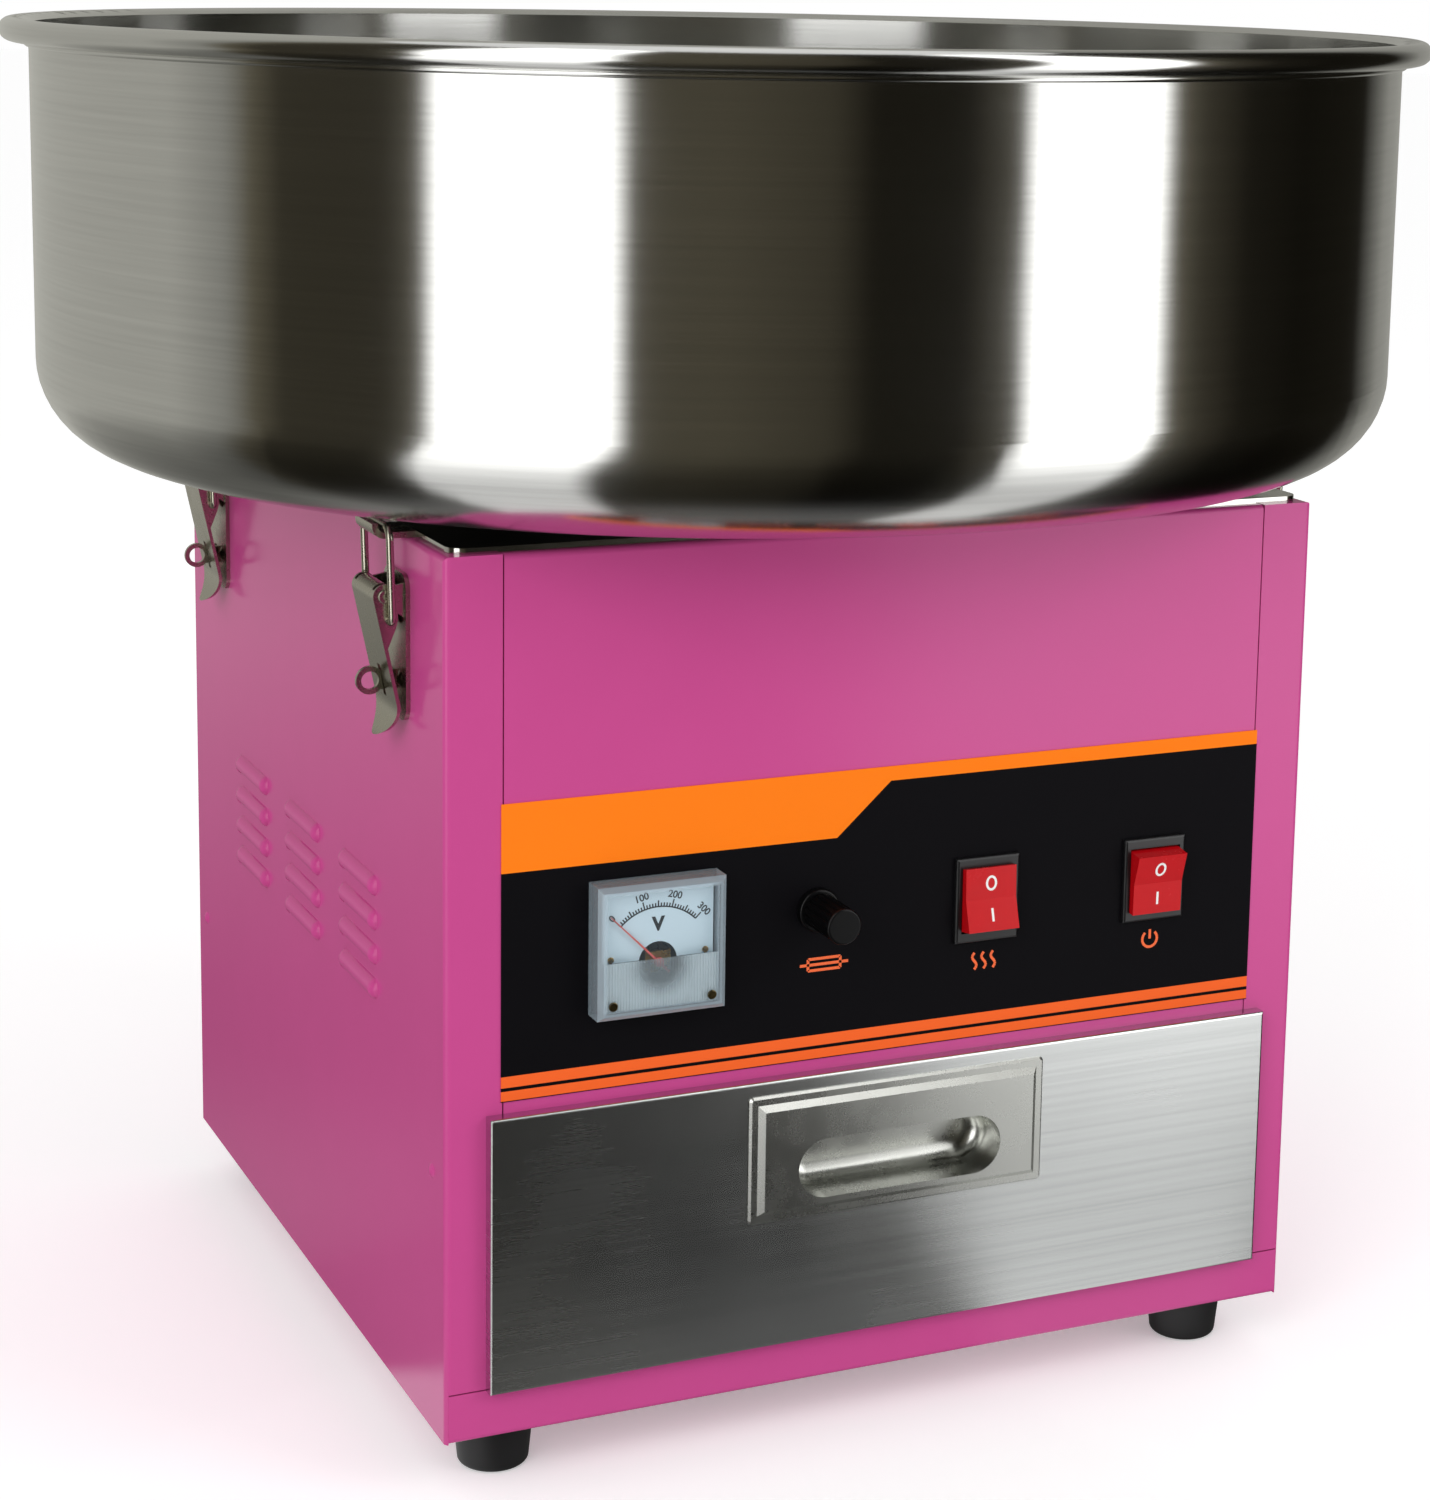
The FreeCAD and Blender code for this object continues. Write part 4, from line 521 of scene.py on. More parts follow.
def joined(pieces: list[bpy.types.Object], name: str) -> bpy.types.Object:
    """Join pieces into one object that stands at the origin with its place in its mesh.

    Args:
        pieces: mesh objects.
        name: name of the piece that they make.

    Returns:
        The one object.
    """
    select_only(*pieces)
    if len(pieces) > 1:
        bpy.ops.object.join()
    piece = bpy.context.view_layer.objects.active
    bpy.ops.object.transform_apply(location=True, rotation=True, scale=True)
    piece.name = name
    piece.data.name = name
    return piece


def settle(piece: bpy.types.Object, finish: Finish, body: str) -> None:
    """Finish a new piece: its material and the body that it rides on.

    Args:
        piece: mesh object in its place.
        finish: what it is made of.
        body: CAD body that carries it.
    """
    piece.data.materials.clear()
    piece.data.materials.append(finish.material())
    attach(piece, body)
    LOG.info("made %s: %d faces on %s", piece.name, len(piece.data.polygons), body)


def bar(start: Vector, end: Vector, width: float, face_y: float, thickness: float) -> bpy.types.Object:
    """Model a flat printed stroke that faces -Y.

    Args:
        start: middle of one end, in X and Z.
        end: middle of the other end.
        width: width of the stroke.
        face_y: Y of its back.
        thickness: how far it stands out.

    Returns:
        The stroke, softened at its edges.
    """
    along = end - start
    middle = (start + end) / 2
    bpy.ops.object.select_all(action="DESELECT")
    bpy.ops.mesh.primitive_cube_add(size=1, location=(middle.x, face_y - thickness / 2, middle.z))
    stroke = bpy.context.object
    stroke.scale = (along.length, thickness, width)
    stroke.rotation_euler = (0, -math.atan2(along.z, along.x), 0)
    bpy.ops.object.transform_apply(location=False, rotation=True, scale=True)
    bpy.ops.object.mode_set(mode="EDIT")
    bpy.ops.mesh.select_all(action="SELECT")
    bpy.ops.mesh.bevel(offset=thickness * STROKE_EDGE, segments=1)
    bpy.ops.object.mode_set(mode="OBJECT")
    return stroke


def plate(outline: list[Vector], back_y: float, thickness: float) -> bpy.types.Object:
    """Model a flat plate of any outline that faces -Y.

    Args:
        outline: its corners in order, in X and Z.
        back_y: Y of its back.
        thickness: how far it stands out.

    Returns:
        The plate.
    """
    bpy.ops.object.select_all(action="DESELECT")
    bpy.ops.mesh.primitive_circle_add(vertices=len(outline), radius=1, fill_type="NGON")
    piece = bpy.context.object
    for vertex, corner in zip(piece.data.vertices, outline):
        vertex.co = (corner.x, back_y, corner.z)
    bpy.ops.object.mode_set(mode="EDIT")
    bpy.ops.mesh.select_all(action="SELECT")
    bpy.ops.mesh.extrude_region_move(TRANSFORM_OT_translate={"value": (0, -thickness, 0)})
    bpy.ops.mesh.select_all(action="SELECT")
    bpy.ops.mesh.normals_make_consistent(inside=False)
    bpy.ops.object.mode_set(mode="OBJECT")
    return piece


def line(points: list[Vector], width: float, face_y: float, thickness: float) -> list[bpy.types.Object]:
    """Model a bent stroke as one bar for each stretch of its route."""
    return [bar(one, other, width, face_y, thickness) for one, other in zip(points, points[1:])]


def arc_points(centre: Vector, radius: float, start: float, end: float, steps: int) -> list[Vector]:
    """Return points on an arc in the XZ plane.

    Args:
        centre: its centre.
        radius: its radius.
        start: first angle in degrees, clockwise from upright seen from the front.
        end: last angle.
        steps: number of stretches.

    Returns:
        The points, from start to end.
    """
    points = []
    for index in range(steps + 1):
        angle = math.radians(start + (end - start) * index / steps)
        points.append(centre + Vector((radius * math.sin(angle), 0, radius * math.cos(angle))))
    return points


def letter(text: str, size: float, place: Vector, thickness: float, lean: float = 0.0,
           weight: float = 0.0) -> bpy.types.Object:
    """Model plain figures that face -Y.

    Args:
        text: the figures.
        size: letter size.
        place: middle of the figures, on the surface that carries them.
        thickness: how far they stand out.
        lean: clockwise turn in degrees.
        weight: how much thicker the strokes are, on each side.

    Returns:
        The figures as a mesh.
    """
    bpy.ops.object.select_all(action="DESELECT")
    bpy.ops.object.text_add(location=place, rotation=(math.pi / 2, math.radians(lean), 0))
    figures = bpy.context.object
    figures.data.body = text
    figures.data.size = size
    figures.data.align_x = "CENTER"
    figures.data.align_y = "CENTER"
    figures.data.extrude = thickness / 2
    figures.data.offset = weight
    bpy.ops.object.convert(target="MESH")
    return bpy.context.object


# ---------------------------------------------------------------- sub-assemblies
@dataclass
class Cabinet:
    """Painted sheet-steel cabinet with its feet, deck and mains parts.

    Attributes:
        painted: its powder coated nodes.
    """

    painted: tuple[str, ...] = ("base_tray", "left_side_panel", "right_side_panel", "front_panel",
                                "rear_panel", "top_deck")

    def dress(self) -> None:
        """Give every solid of the cabinet its finish."""
        POWDER_COAT.dress(*self.painted)
        MOULDED_RUBBER.dress("rubber_feet", "motor_bushes")
        POWDER_COAT.dress("side_rivets")
        NICKEL_PLATE.dress("foot_screws")
        MOULDED_ABS.dress("power_inlet")
        CREAM_NYLON.dress("terminal_block")
        LOG.info("dressed the cabinet")


@dataclass
class Drive:
    """Motor, shaft and slip rings under the deck."""

    def dress(self) -> None:
        """Give the drive's solids their finishes."""
        CAST_ALUMINIUM.dress("motor_body")
        STACKED_STEEL.dress("motor_rotor", "motor_stator")
        GROUND_BAR.dress("drive_shaft")
        ZINC_SHEET.dress("motor_plate", "motor_studs")
        PHENOLIC.dress("slip_ring_hub", "brush_holder")
        PLAIN_BRASS.dress("slip_rings")
        PRESSED_CARBON.dress("carbon_brushes")
        LOG.info("dressed the drive")


@dataclass
class Bowl:
    """Spun bowl, its seat plate, hooks and gasket, and the head that spins in it."""

    def dress(self) -> None:
        """Give the bowl's and the head's solids their finishes."""
        BRUSHED_BOWL.dress("bowl")
        ROLLED_SHEET.dress("seat_plate")
        NICKEL_PLATE.dress("bowl_hooks", "bowl_screws")
        MOULDED_RUBBER.dress("bowl_gasket")
        CAST_ALUMINIUM.dress("spinner_base", "spinner_cap")
        BRUSHED_BOWL.dress("spinner_band")
        HEATER_SHEATH.dress("heating_element")
        FIRED_CERAMIC.dress("element_supports")
        LOG.info("dressed the bowl and the spinner head")


@dataclass
class Latches:
    """Four toggle latches.

    Attributes:
        corners: where they are, as their nodes' names end.
    """

    corners: tuple[str, ...] = ("front_left", "rear_left", "front_right", "rear_right")

    def dress(self) -> None:
        """Give the latches their plating."""
        NICKEL_PLATE.dress("latch_bases", "latch_pins", "latch_rivets")
        for corner in self.corners:
            NICKEL_PLATE.dress("latch_lever_" + corner, "latch_bail_" + corner)
        LOG.info("dressed the latches")


@dataclass
class Drawer:
    """Drawer with its stainless front and flush pull."""

    def dress(self) -> None:
        """Give the drawer's solids their finishes."""
        BRUSHED_SHEET.dress("drawer_front")
        PRESSED_SHEET.dress("drawer_pull")
        ZINC_SHEET.dress("drawer_box", "drawer_runners")
        LOG.info("dressed the drawer")


@dataclass
class ControlPlate:
    """Printed plate, with a plain pictogram under the fuse and under each switch.

    Attributes:
        fuse_drop: distance from the fuse holder's middle down to its pictogram.
        fuse_shift: how far that pictogram stands to the right of the holder's middle.
        switch_drop: distance from a switch's middle down to its pictogram.
        mark_height: height of a switch's pictogram, and half of the fuse box's width.
        fuse_box: half of the fuse box's height, as a share of mark_height.
        fuse_lead: half of the fuse line's length, as a share of mark_height.
        wave_gap: distance between two waves, as a share of mark_height.
        wave_sway: how far a wave sways to each side, as a share of mark_height.
        wave_steps: stretches in a wave.
        ring_gap: half of the power ring's gap, in degrees.
        ring_steps: stretches in the ring.
        bar_reach: the power bar's upper end from the ring's middle, as a share of its radius.
        stroke: width of the strokes.
        ink: thickness of the ink.
        face_y: Y of the plate's face.
    """

    fuse_drop: float = 19.5 * MM
    fuse_shift: float = 3.0 * MM
    switch_drop: float = 22.5 * MM
    mark_height: float = 6.0 * MM
    fuse_box: float = 1 / 3
    fuse_lead: float = 1.5
    wave_gap: float = 0.6
    wave_sway: float = 1 / 7
    wave_steps: int = 10
    ring_gap: float = 40.0
    ring_steps: int = 20
    bar_reach: float = 1.15
    stroke: float = 1.0 * MM
    ink: float = 0.12 * MM
    face_y: float = field(init=False)

    def __post_init__(self) -> None:
        """Find the plate's face."""
        self.face_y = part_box("control_plate")[0].y

    def under(self, node: str, drop: float) -> Vector:
        """Find the place of the pictogram that belongs to a control.

        Args:
            node: the control's CAD node.
            drop: distance from its middle down to the pictogram.

        Returns:
            The pictogram's middle, in X and Z.
        """
        low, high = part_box(node)
        middle = (low + high) / 2
        return Vector((middle.x, 0, middle.z - drop))

    def fuse_mark(self) -> list[bpy.types.Object]:
        """Model a fuse sign: a box with a line through it.

        Returns:
            Its strokes.
        """
        centre = self.under("fuse_holder", self.fuse_drop) + Vector((self.fuse_shift, 0, 0))
        half = Vector((self.mark_height, 0, 0))
        rise = Vector((0, 0, self.mark_height * self.fuse_box))
        lead = half * self.fuse_lead
        corners = [centre - half - rise, centre + half - rise, centre + half + rise, centre - half + rise]
        box = line(corners + corners[:1], self.stroke, self.face_y, self.ink)
        return box + line([centre - lead, centre + lead], self.stroke, self.face_y, self.ink)

    def heat_mark(self) -> list[bpy.types.Object]:
        """Model three rising waves.

        Returns:
            Their strokes.
        """
        centre = self.under("heat_switch_body", self.switch_drop)
        waves = []
        for column in (-1, 0, 1):
            points = []
            for index in range(self.wave_steps + 1):
                share = index / self.wave_steps
                across = column * self.wave_gap + self.wave_sway * math.sin(2 * math.pi * share)
                points.append(centre + self.mark_height * Vector((across, 0, share - 0.5)))
            waves += line(points, self.stroke, self.face_y, self.ink)
        return waves

    def power_mark(self) -> list[bpy.types.Object]:
        """Model an open ring with a bar.

        Returns:
            Its strokes.
        """
        centre = self.under("power_switch_body", self.switch_drop)
        radius = self.mark_height / 2
        route = arc_points(centre, radius, self.ring_gap, 360 - self.ring_gap, self.ring_steps)
        ring = line(route, self.stroke, self.face_y, self.ink)
        top = centre + Vector((0, 0, radius * self.bar_reach))
        return ring + line([centre, top], self.stroke, self.face_y, self.ink)

    def build(self) -> None:
        """Dress the plate and model its pictograms."""
        PRINTED_FILM.dress("control_plate")
        marks = {"fuse_pictogram": self.fuse_mark(), "heat_pictogram": self.heat_mark(),
                 "power_pictogram": self.power_mark()}
        for name, strokes in marks.items():
            settle(joined(strokes, name), ORANGE_INK, CABINET)


@dataclass
class Voltmeter:
    """Moving-coil meter: its printed scale and the detail of its clear cover.

    Attributes:
        pivot_drop: the needle's pivot below the meter's middle.
        scale_radius: radius of the scale's arc about the pivot.
        figure_radius: radius on which the figures stand.
        sweep: angle from upright to each end of the scale, in degrees.
        arc_steps: stretches in the scale's arc.
        intervals: spaces between ticks on the scale.
        figures: the numbers along the scale, in even steps.
        long_tick: length of a numbered tick.
        middle_tick: length of a tick halfway between numbered ones.
        short_tick: length of a plain tick.
        stroke: width of a printed stroke.
        ink: thickness of the ink.
        figure_size: size of the figures.
        figure_weight: how much thicker their strokes are, on each side.
        unit_size: size of the unit sign.
        unit_weight: how much thicker its strokes are, on each side.
        unit_rise: the unit sign above the pivot.
        dial_screw: place of the right dial screw from the meter's middle, in X and Z.
        dial_screw_radius: radius of its head.
        cover_screw: place of the right cover screw from the meter's middle, in X and Z.
        cover_screw_radius: radius of its head.
        cover_screw_sunk: its seat behind the cover's face.
        screw_steps: corners of a head's outline.
        screw_height: height of a head, as a share of its radius.
        screw_edge: width of a head's softened edge, as a share of its height.
        slot_reach: a slot's end from the head's middle in X and Z, as shares of its radius.
        slot_width: width of a slot, as a share of the radius.
        slot_height: how far the strip that stands for a slot rises from the head.
        window_top: the frosted window's upper edge from the meter's middle.
        window_half: half of its width and how far it reaches down.
        window_back: its back behind the cover's face.
        window_thickness: its thickness.
        rib_pitch: distance between its ribs.
        rib_back: the ribs' back from the window's back.
        rib_height: how far the ribs stand out from there.
    """

    pivot_drop: float = 5.5 * MM
    scale_radius: float = 18.6 * MM
    figure_radius: float = 22.8 * MM
    sweep: float = 45.0
    arc_steps: int = 24
    intervals: int = 30
    figures: tuple[str, ...] = ("0", "100", "200", "300")
    long_tick: float = 2.7 * MM
    middle_tick: float = 2.1 * MM
    short_tick: float = 1.3 * MM
    stroke: float = 0.48 * MM
    ink: float = 0.06 * MM
    figure_size: float = 3.4 * MM
    figure_weight: float = 0.07 * MM
    unit_size: float = 6.4 * MM
    unit_weight: float = 0.3 * MM
    unit_rise: float = 12.6 * MM
    dial_screw: tuple[float, float] = (16.7 * MM, -3.3 * MM)
    dial_screw_radius: float = 1.1 * MM
    cover_screw: tuple[float, float] = (17.4 * MM, -17.6 * MM)
    cover_screw_radius: float = 1.6 * MM
    cover_screw_sunk: float = 0.8 * MM
    screw_steps: int = 24
    screw_height: float = 1 / 2
    screw_edge: float = 1 / 3
    slot_reach: tuple[float, float] = (0.75, 0.35)
    slot_width: float = 1 / 4
    slot_height: float = 0.05 * MM
    window_top: float = -3.6 * MM
    window_half: float = 20.0 * MM
    window_back: float = 2.3 * MM
    window_thickness: float = 0.5 * MM
    rib_pitch: float = 1.0 * MM
    rib_back: float = 0.4 * MM
    rib_height: float = 0.35 * MM

    def centre(self) -> Vector:
        """Return the middle of the cover's face."""
        low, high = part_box("meter_cover")
        return Vector(((low.x + high.x) / 2, low.y, (low.z + high.z) / 2))

    def at(self, side: float, rise: float) -> Vector:
        """Return a point in X and Z from the meter's middle."""
        centre = self.centre()
        return Vector((centre.x + side, 0, centre.z + rise))

    def tick_length(self, index: int) -> float:
        """Find the length of a tick: long at a figure, middling halfway, short elsewhere.

        Args:
            index: the tick's number from the left, from 0.

        Returns:
            Its length.
        """
        numbered = self.intervals // (len(self.figures) - 1)
        if index % numbered == 0:
            return self.long_tick
        return self.middle_tick if index % numbered == numbered // 2 else self.short_tick

    def scale(self) -> None:
        """Model the arc, the ticks and the plain figures on the dial."""
        face_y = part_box("meter_dial")[0].y
        pivot = self.at(0, -self.pivot_drop)
        route = arc_points(pivot, self.scale_radius, -self.sweep, self.sweep, self.arc_steps)
        strokes = line(route, self.stroke, face_y, self.ink)
        for index in range(self.intervals + 1):
            angle = -self.sweep + 2 * self.sweep * index / self.intervals
            inner, outer = (arc_points(pivot, radius, angle, angle, 1)[0]
                            for radius in (self.scale_radius, self.scale_radius + self.tick_length(index)))
            strokes.append(bar(inner, outer, self.stroke, face_y, self.ink))
        for index, figure in enumerate(self.figures):
            angle = -self.sweep + 2 * self.sweep * index / (len(self.figures) - 1)
            place = arc_points(pivot, self.figure_radius, angle, angle, 1)[0]
            place.y = face_y
            strokes.append(letter(figure, self.figure_size, place, self.ink, angle, self.figure_weight))
        unit = pivot + Vector((0, face_y, self.unit_rise))
        strokes.append(letter("V", self.unit_size, unit, self.ink, weight=self.unit_weight))
        settle(joined(strokes, "meter_scale"), BLACK_INK, CABINET)

    def screw_heads(self, name: str, place: tuple[float, float], face_y: float, radius: float,
                    finish: Finish) -> None:
        """Model a pair of slotted screw heads.

        Args:
            name: the pair's name.
            place: the right one's place from the meter's middle, in X and Z.
            face_y: Y of the surface that they stand on.
            radius: radius of a head.
            finish: their finish.
        """
        height = radius * self.screw_height
        heads = []
        for side in (-1, 1):
            spot = self.at(side * place[0], place[1])
            middle = spot + Vector((0, face_y - height / 2, 0))
            bpy.ops.object.select_all(action="DESELECT")
            bpy.ops.mesh.primitive_cylinder_add(vertices=self.screw_steps, radius=radius, depth=height,
                                                location=middle, rotation=(math.pi / 2, 0, 0))
            head = bpy.context.object
            edge = head.modifiers.new("edge", "BEVEL")
            edge.width = height * self.screw_edge
            edge.segments = 2
            bpy.ops.object.modifier_apply(modifier=edge.name)
            reach = Vector((radius * self.slot_reach[0], 0, radius * self.slot_reach[1] * side))
            slot = bar(spot - reach, spot + reach, radius * self.slot_width, face_y - height,
                       self.slot_height)
            heads += [head, slot]
        settle(joined(heads, name), finish, CABINET)

    def window(self) -> None:
        """Model the frosted and ribbed lower part of the cover."""
        back_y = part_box("meter_cover")[0].y + self.window_back
        side, top = self.window_half, self.window_top
        outline = [self.at(-side, top), self.at(-side, -side), self.at(side, -side), self.at(side, top)]
        pieces = [plate(outline, back_y, self.window_thickness)]
        count = int(side / self.rib_pitch)
        for index in range(-count, count + 1):
            offset = index * self.rib_pitch
            pieces.append(bar(self.at(offset, -side), self.at(offset, top), self.rib_pitch / 2,
                              back_y - self.rib_back, self.rib_height))
        settle(joined(pieces, "meter_cover_window"), FROSTED_STYRENE, CABINET)

    def build(self) -> None:
        """Dress the meter and model its detail."""
        CLEAR_STYRENE.dress("meter_cover")
        MOULDED_ABS.dress("meter_body")
        DIAL_CARD.dress("meter_dial")
        NEEDLE_RED.dress("meter_needle")
        PLAIN_BRASS.dress("meter_movement")
        self.scale()
        self.window()
        dial_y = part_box("meter_dial")[0].y
        seat_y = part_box("meter_cover")[0].y + self.cover_screw_sunk
        self.screw_heads("meter_dial_screws", self.dial_screw, dial_y, self.dial_screw_radius, PLAIN_BRASS)
        self.screw_heads("meter_cover_screws", self.cover_screw, seat_y, self.cover_screw_radius, OLD_BRASS)


@dataclass
class FuseHolder:
    """Panel fuse holder with its fluted cap and glass fuse."""

    def dress(self) -> None:
        """Give the fuse holder's solids their finishes."""
        PHENOLIC.dress("fuse_holder", "fuse_cap")
        FUSE_GLASS.dress("fuse_link")
        LOG.info("dressed the fuse holder")


@dataclass
class RockerSwitch:
    """Rocker switch with a ring for off at its top and a bar for on at its bottom.

    Attributes:
        name: body and node of the rocker.
        shell: node of the switch's body.
        rest_tilt: the rocker's tilt at rest, in degrees.
        mark_rise: distance of each mark from the pivot along the rocker.
        face_rise: the rocker's face from the pivot, where the marks are.
        face_slope: slope of each half of the face, in degrees.
        mark_height: height of the ring and of the bar.
        mark_width: width of the ring.
        stroke: width of their strokes.
        ink: thickness of the ink.
        ring_steps: stretches in the ring.
    """

    name: str
    shell: str
    rest_tilt: float
    mark_rise: float = 5.5 * MM
    face_rise: float = 5.7 * MM
    face_slope: float = 7.25
    mark_height: float = 4.6 * MM
    mark_width: float = 3.5 * MM
    stroke: float = 0.85 * MM
    ink: float = 0.1 * MM
    ring_steps: int = 24

    def pivot(self) -> Vector:
        """Find the rocker's pivot from the frame's joint.

        Returns:
            The pivot's place.
        """
        for joint in frame["joints"]:
            if joint["child"] == self.name:
                return Vector(joint["pos_m"])
        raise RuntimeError("no joint moves " + self.name)

    def placed(self, mark: bpy.types.Object, half: int) -> bpy.types.Object:
        """Lay a mark on one half of the tilted face.

        Args:
            mark: mesh object at the origin that faces -Y.
            half: 1 for the upper half, -1 for the lower.

        Returns:
            The mark in its place.
        """
        slope = Matrix.Rotation(math.radians(half * self.face_slope), 4, "X")
        out = Matrix.Translation((0, -self.face_rise, half * self.mark_rise))
        tilt = Matrix.Rotation(math.radians(self.rest_tilt), 4, "X")
        mark.data.transform(Matrix.Translation(self.pivot()) @ tilt @ out @ slope)
        return mark

    def build(self) -> None:
        """Dress the switch and model its marks."""
        ROCKER_RED.dress(self.name)
        MOULDED_ABS.dress(self.shell)
        centre = Vector((0, 0, 0))
        rise = Vector((0, 0, self.mark_height / 2))
        oval = [Vector((point.x * self.mark_width / self.mark_height, 0, point.z))
                for point in arc_points(centre, self.mark_height / 2, 0, 360, self.ring_steps)]
        ring = joined(line(oval, self.stroke, 0.0, self.ink), self.name + "_off_mark")
        stick = bar(centre - rise, centre + rise, self.stroke, 0.0, self.ink)
        stick = joined([stick], self.name + "_on_mark")
        for mark, half in ((ring, 1), (stick, -1)):
            settle(self.placed(mark, half), WHITE_INK, self.name)


# ---------------------------------------------------------------- studio
WHITE = "#FFFFFF"
WALL_TINT = "#FFFEF4"
CURTAIN_TINT = "#FFF2CE"


@dataclass(frozen=True)
class Board:
    """Brightness that glossy surfaces find in one direction round the studio.

    Attributes:
        azimuth: the direction, in degrees from +X towards +Y.
        level: its brightness, 1 for plain white.
        colour: its tint.
    """

    azimuth: float
    level: float
    colour: str = CURTAIN_TINT


@dataclass(frozen=True)
class Lamp:
    """One soft square lamp that faces the object.

    Attributes:
        name: its name.
        place: its place, in metres.
        side: length of its side, in metres.
        power: its power, in watts.
    """

    name: str
    place: tuple[float, float, float]
    side: float
    power: float


@dataclass
class Studio:
    """Pale floor, plain soft light, a surround for the metal to reflect, and the camera.

    The surround is a ring of dark curtain with a white softbox at the left and one at the right,
    and a pale wall behind. Only glossy surfaces see it. Between two boards its brightness blends.
    Lengths are in metres and turns in degrees, unless said otherwise.

    Attributes:
        boards: the surround's brightness round the Z axis, in order of azimuth.
        surround_radius: radius of the ring, and of the card that lies on the floor in it.
        surround_height: height of the ring.
        surround_steps: corners of their outline.
        surround_peak: level of the brightest board.
        card_share: the card's strength near the machine, as a share of the ring's.
        card_drop: the card's place below the floor's height.
        fade: distances from the Z axis between which the card reaches the ring's strength.
        near: distances between which the plain grey under the machine fades out.
        near_level: brightness of that grey.
        twist: the pattern's turn on the card for each metre in from the ring.
        floor_radius: radius of the floor.
        floor_steps: corners of its outline.
        floor_drop: its place below the machine's rest face.
        floor_colour: its colour.
        floor_lift: the glow that lifts it to near white for the camera.
        lamps: the soft lamps.
        aim: the point that they face.
        room_level: the white room's light on surfaces that neither mirror it nor let it through.
        camera_place: the camera's place.
        camera_yaw: its turn from +Y to the right.
        camera_pitch: its turn down from level.
        camera_roll: its turn about its own axis, clockwise seen from behind it.
        image_height: height of the picture, in pixels.
        image_width: width of the picture, in pixels.
        focal_px: focal length, in pixels of the picture.
        middle_px: the lens's axis in the picture, in pixels from its upper left corner.
        sensor_mm: width of the sensor, in millimetres.
        clip: nearest and farthest distance that the camera sees.
    """

    boards: tuple[Board, ...] = (
        Board(-180.0, 0.045), Board(-162.0, 0.04), Board(-156.3, 0.09),
        Board(-152.4, 2.8, WHITE), Board(-129.2, 2.8, WHITE),
        Board(-125.4, 0.085), Board(-112.0, 0.085), Board(-97.0, 0.055), Board(-91.0, 0.014),
        Board(-77.0, 0.014), Board(-69.0, 0.07),
        Board(-64.5, 2.8, WHITE), Board(-46.0, 2.8, WHITE),
        Board(-41.8, 0.12), Board(-36.0, 0.05), Board(-26.0, 0.014), Board(-12.0, 0.008), Board(10.0, 0.012),
        Board(24.5, 0.3, WALL_TINT), Board(100.0, 0.48, WALL_TINT), Board(157.0, 0.46, WALL_TINT),
        Board(169.0, 0.3, WALL_TINT), Board(174.5, 0.12), Board(180.0, 0.045),
    )
    surround_radius: float = 1.5
    surround_height: float = 3.2
    surround_steps: int = 180
    surround_peak: float = 2.8
    card_share: float = 0.27
    card_drop: float = 0.1 * MM
    fade: tuple[float, float] = (0.45, 1.3)
    near: tuple[float, float] = (0.19, 0.38)
    near_level: float = 0.14
    twist: float = 5.0
    floor_radius: float = 14.0
    floor_steps: int = 96
    floor_drop: float = 0.2 * MM
    floor_colour: str = "#F6F6F6"
    floor_lift: float = 0.3
    lamps: tuple[Lamp, ...] = (Lamp("left_lamp", (-1.9, -1.7, 1.6), 1.4, 22.0),
                               Lamp("right_lamp", (1.6, -1.9, 1.5), 1.2, 14.0))
    aim: tuple[float, float, float] = (0.0, 0.0, 0.25)
    room_level: float = 0.72
    camera_place: Vector = field(default_factory=lambda: Vector((-468.5, -1105.4, 507.0)) * MM)
    camera_yaw: float = 25.04
    camera_pitch: float = 9.73
    camera_roll: float = 1.09
    image_height: int = 1500
    image_width: int = 1430
    focal_px: float = 3198.6
    middle_px: tuple[float, float] = (829.0, 500.0)
    sensor_mm: float = 36.0
    clip: tuple[float, float] = (0.01, 100.0)

    def surround_material(self) -> bpy.types.Material:
        """Make a glowing material that follows the boards round the Z axis.

        It fades on the card towards the machine, where a plain dim grey takes over, and the card's
        pattern is turned a little by the twist.

        Returns:
            The material.
        """
        material = bpy.data.materials.new("studio surround")
        material.use_nodes = True
        tree = material.node_tree
        tree.nodes.clear()
        place = add_node(tree, "TexCoord").outputs["Object"]
        split = add_node(tree, "SeparateXYZ", links={0: place}).outputs
        flat = add_node(tree, "CombineXYZ", links={"X": split["X"], "Y": split["Y"]}).outputs[0]
        away = add_node(tree, "VectorMath", {"operation": "LENGTH"}, {0: flat}).outputs["Value"]
        turn = add_node(tree, "Math", {"operation": "ARCTAN2"}, {0: split["Y"], 1: split["X"]}).outputs[0]
        twist = math.radians(self.twist)
        start = add_node(tree, "Math", {"operation": "ADD", 1: twist * self.surround_radius}, {0: turn})
        bent = add_node(tree, "Math", {"operation": "MULTIPLY_ADD", 1: -twist},
                        {0: away, 2: start.outputs[0]})
        along = add_node(tree, "MapRange", {"From Min": -math.pi, "From Max": math.pi},
                         {"Value": bent.outputs[0]})
        ramp = add_node(tree, "ValToRGB", links={0: along.outputs[0]})
        stops = ramp.color_ramp.elements
        stops[0].color = shaded(self.boards[0].colour, self.boards[0].level / self.surround_peak)
        stops[1].color = stops[0].color
        for board in self.boards[1:-1]:
            stop = stops.new((board.azimuth + 180) / 360)
            stop.color = shaded(board.colour, board.level / self.surround_peak)
        share = add_node(tree, "MapRange", {
            "From Min": self.fade[0], "From Max": self.fade[1],
            "To Min": self.card_share * self.surround_peak, "To Max": self.surround_peak,
        }, {"Value": away}).outputs[0]
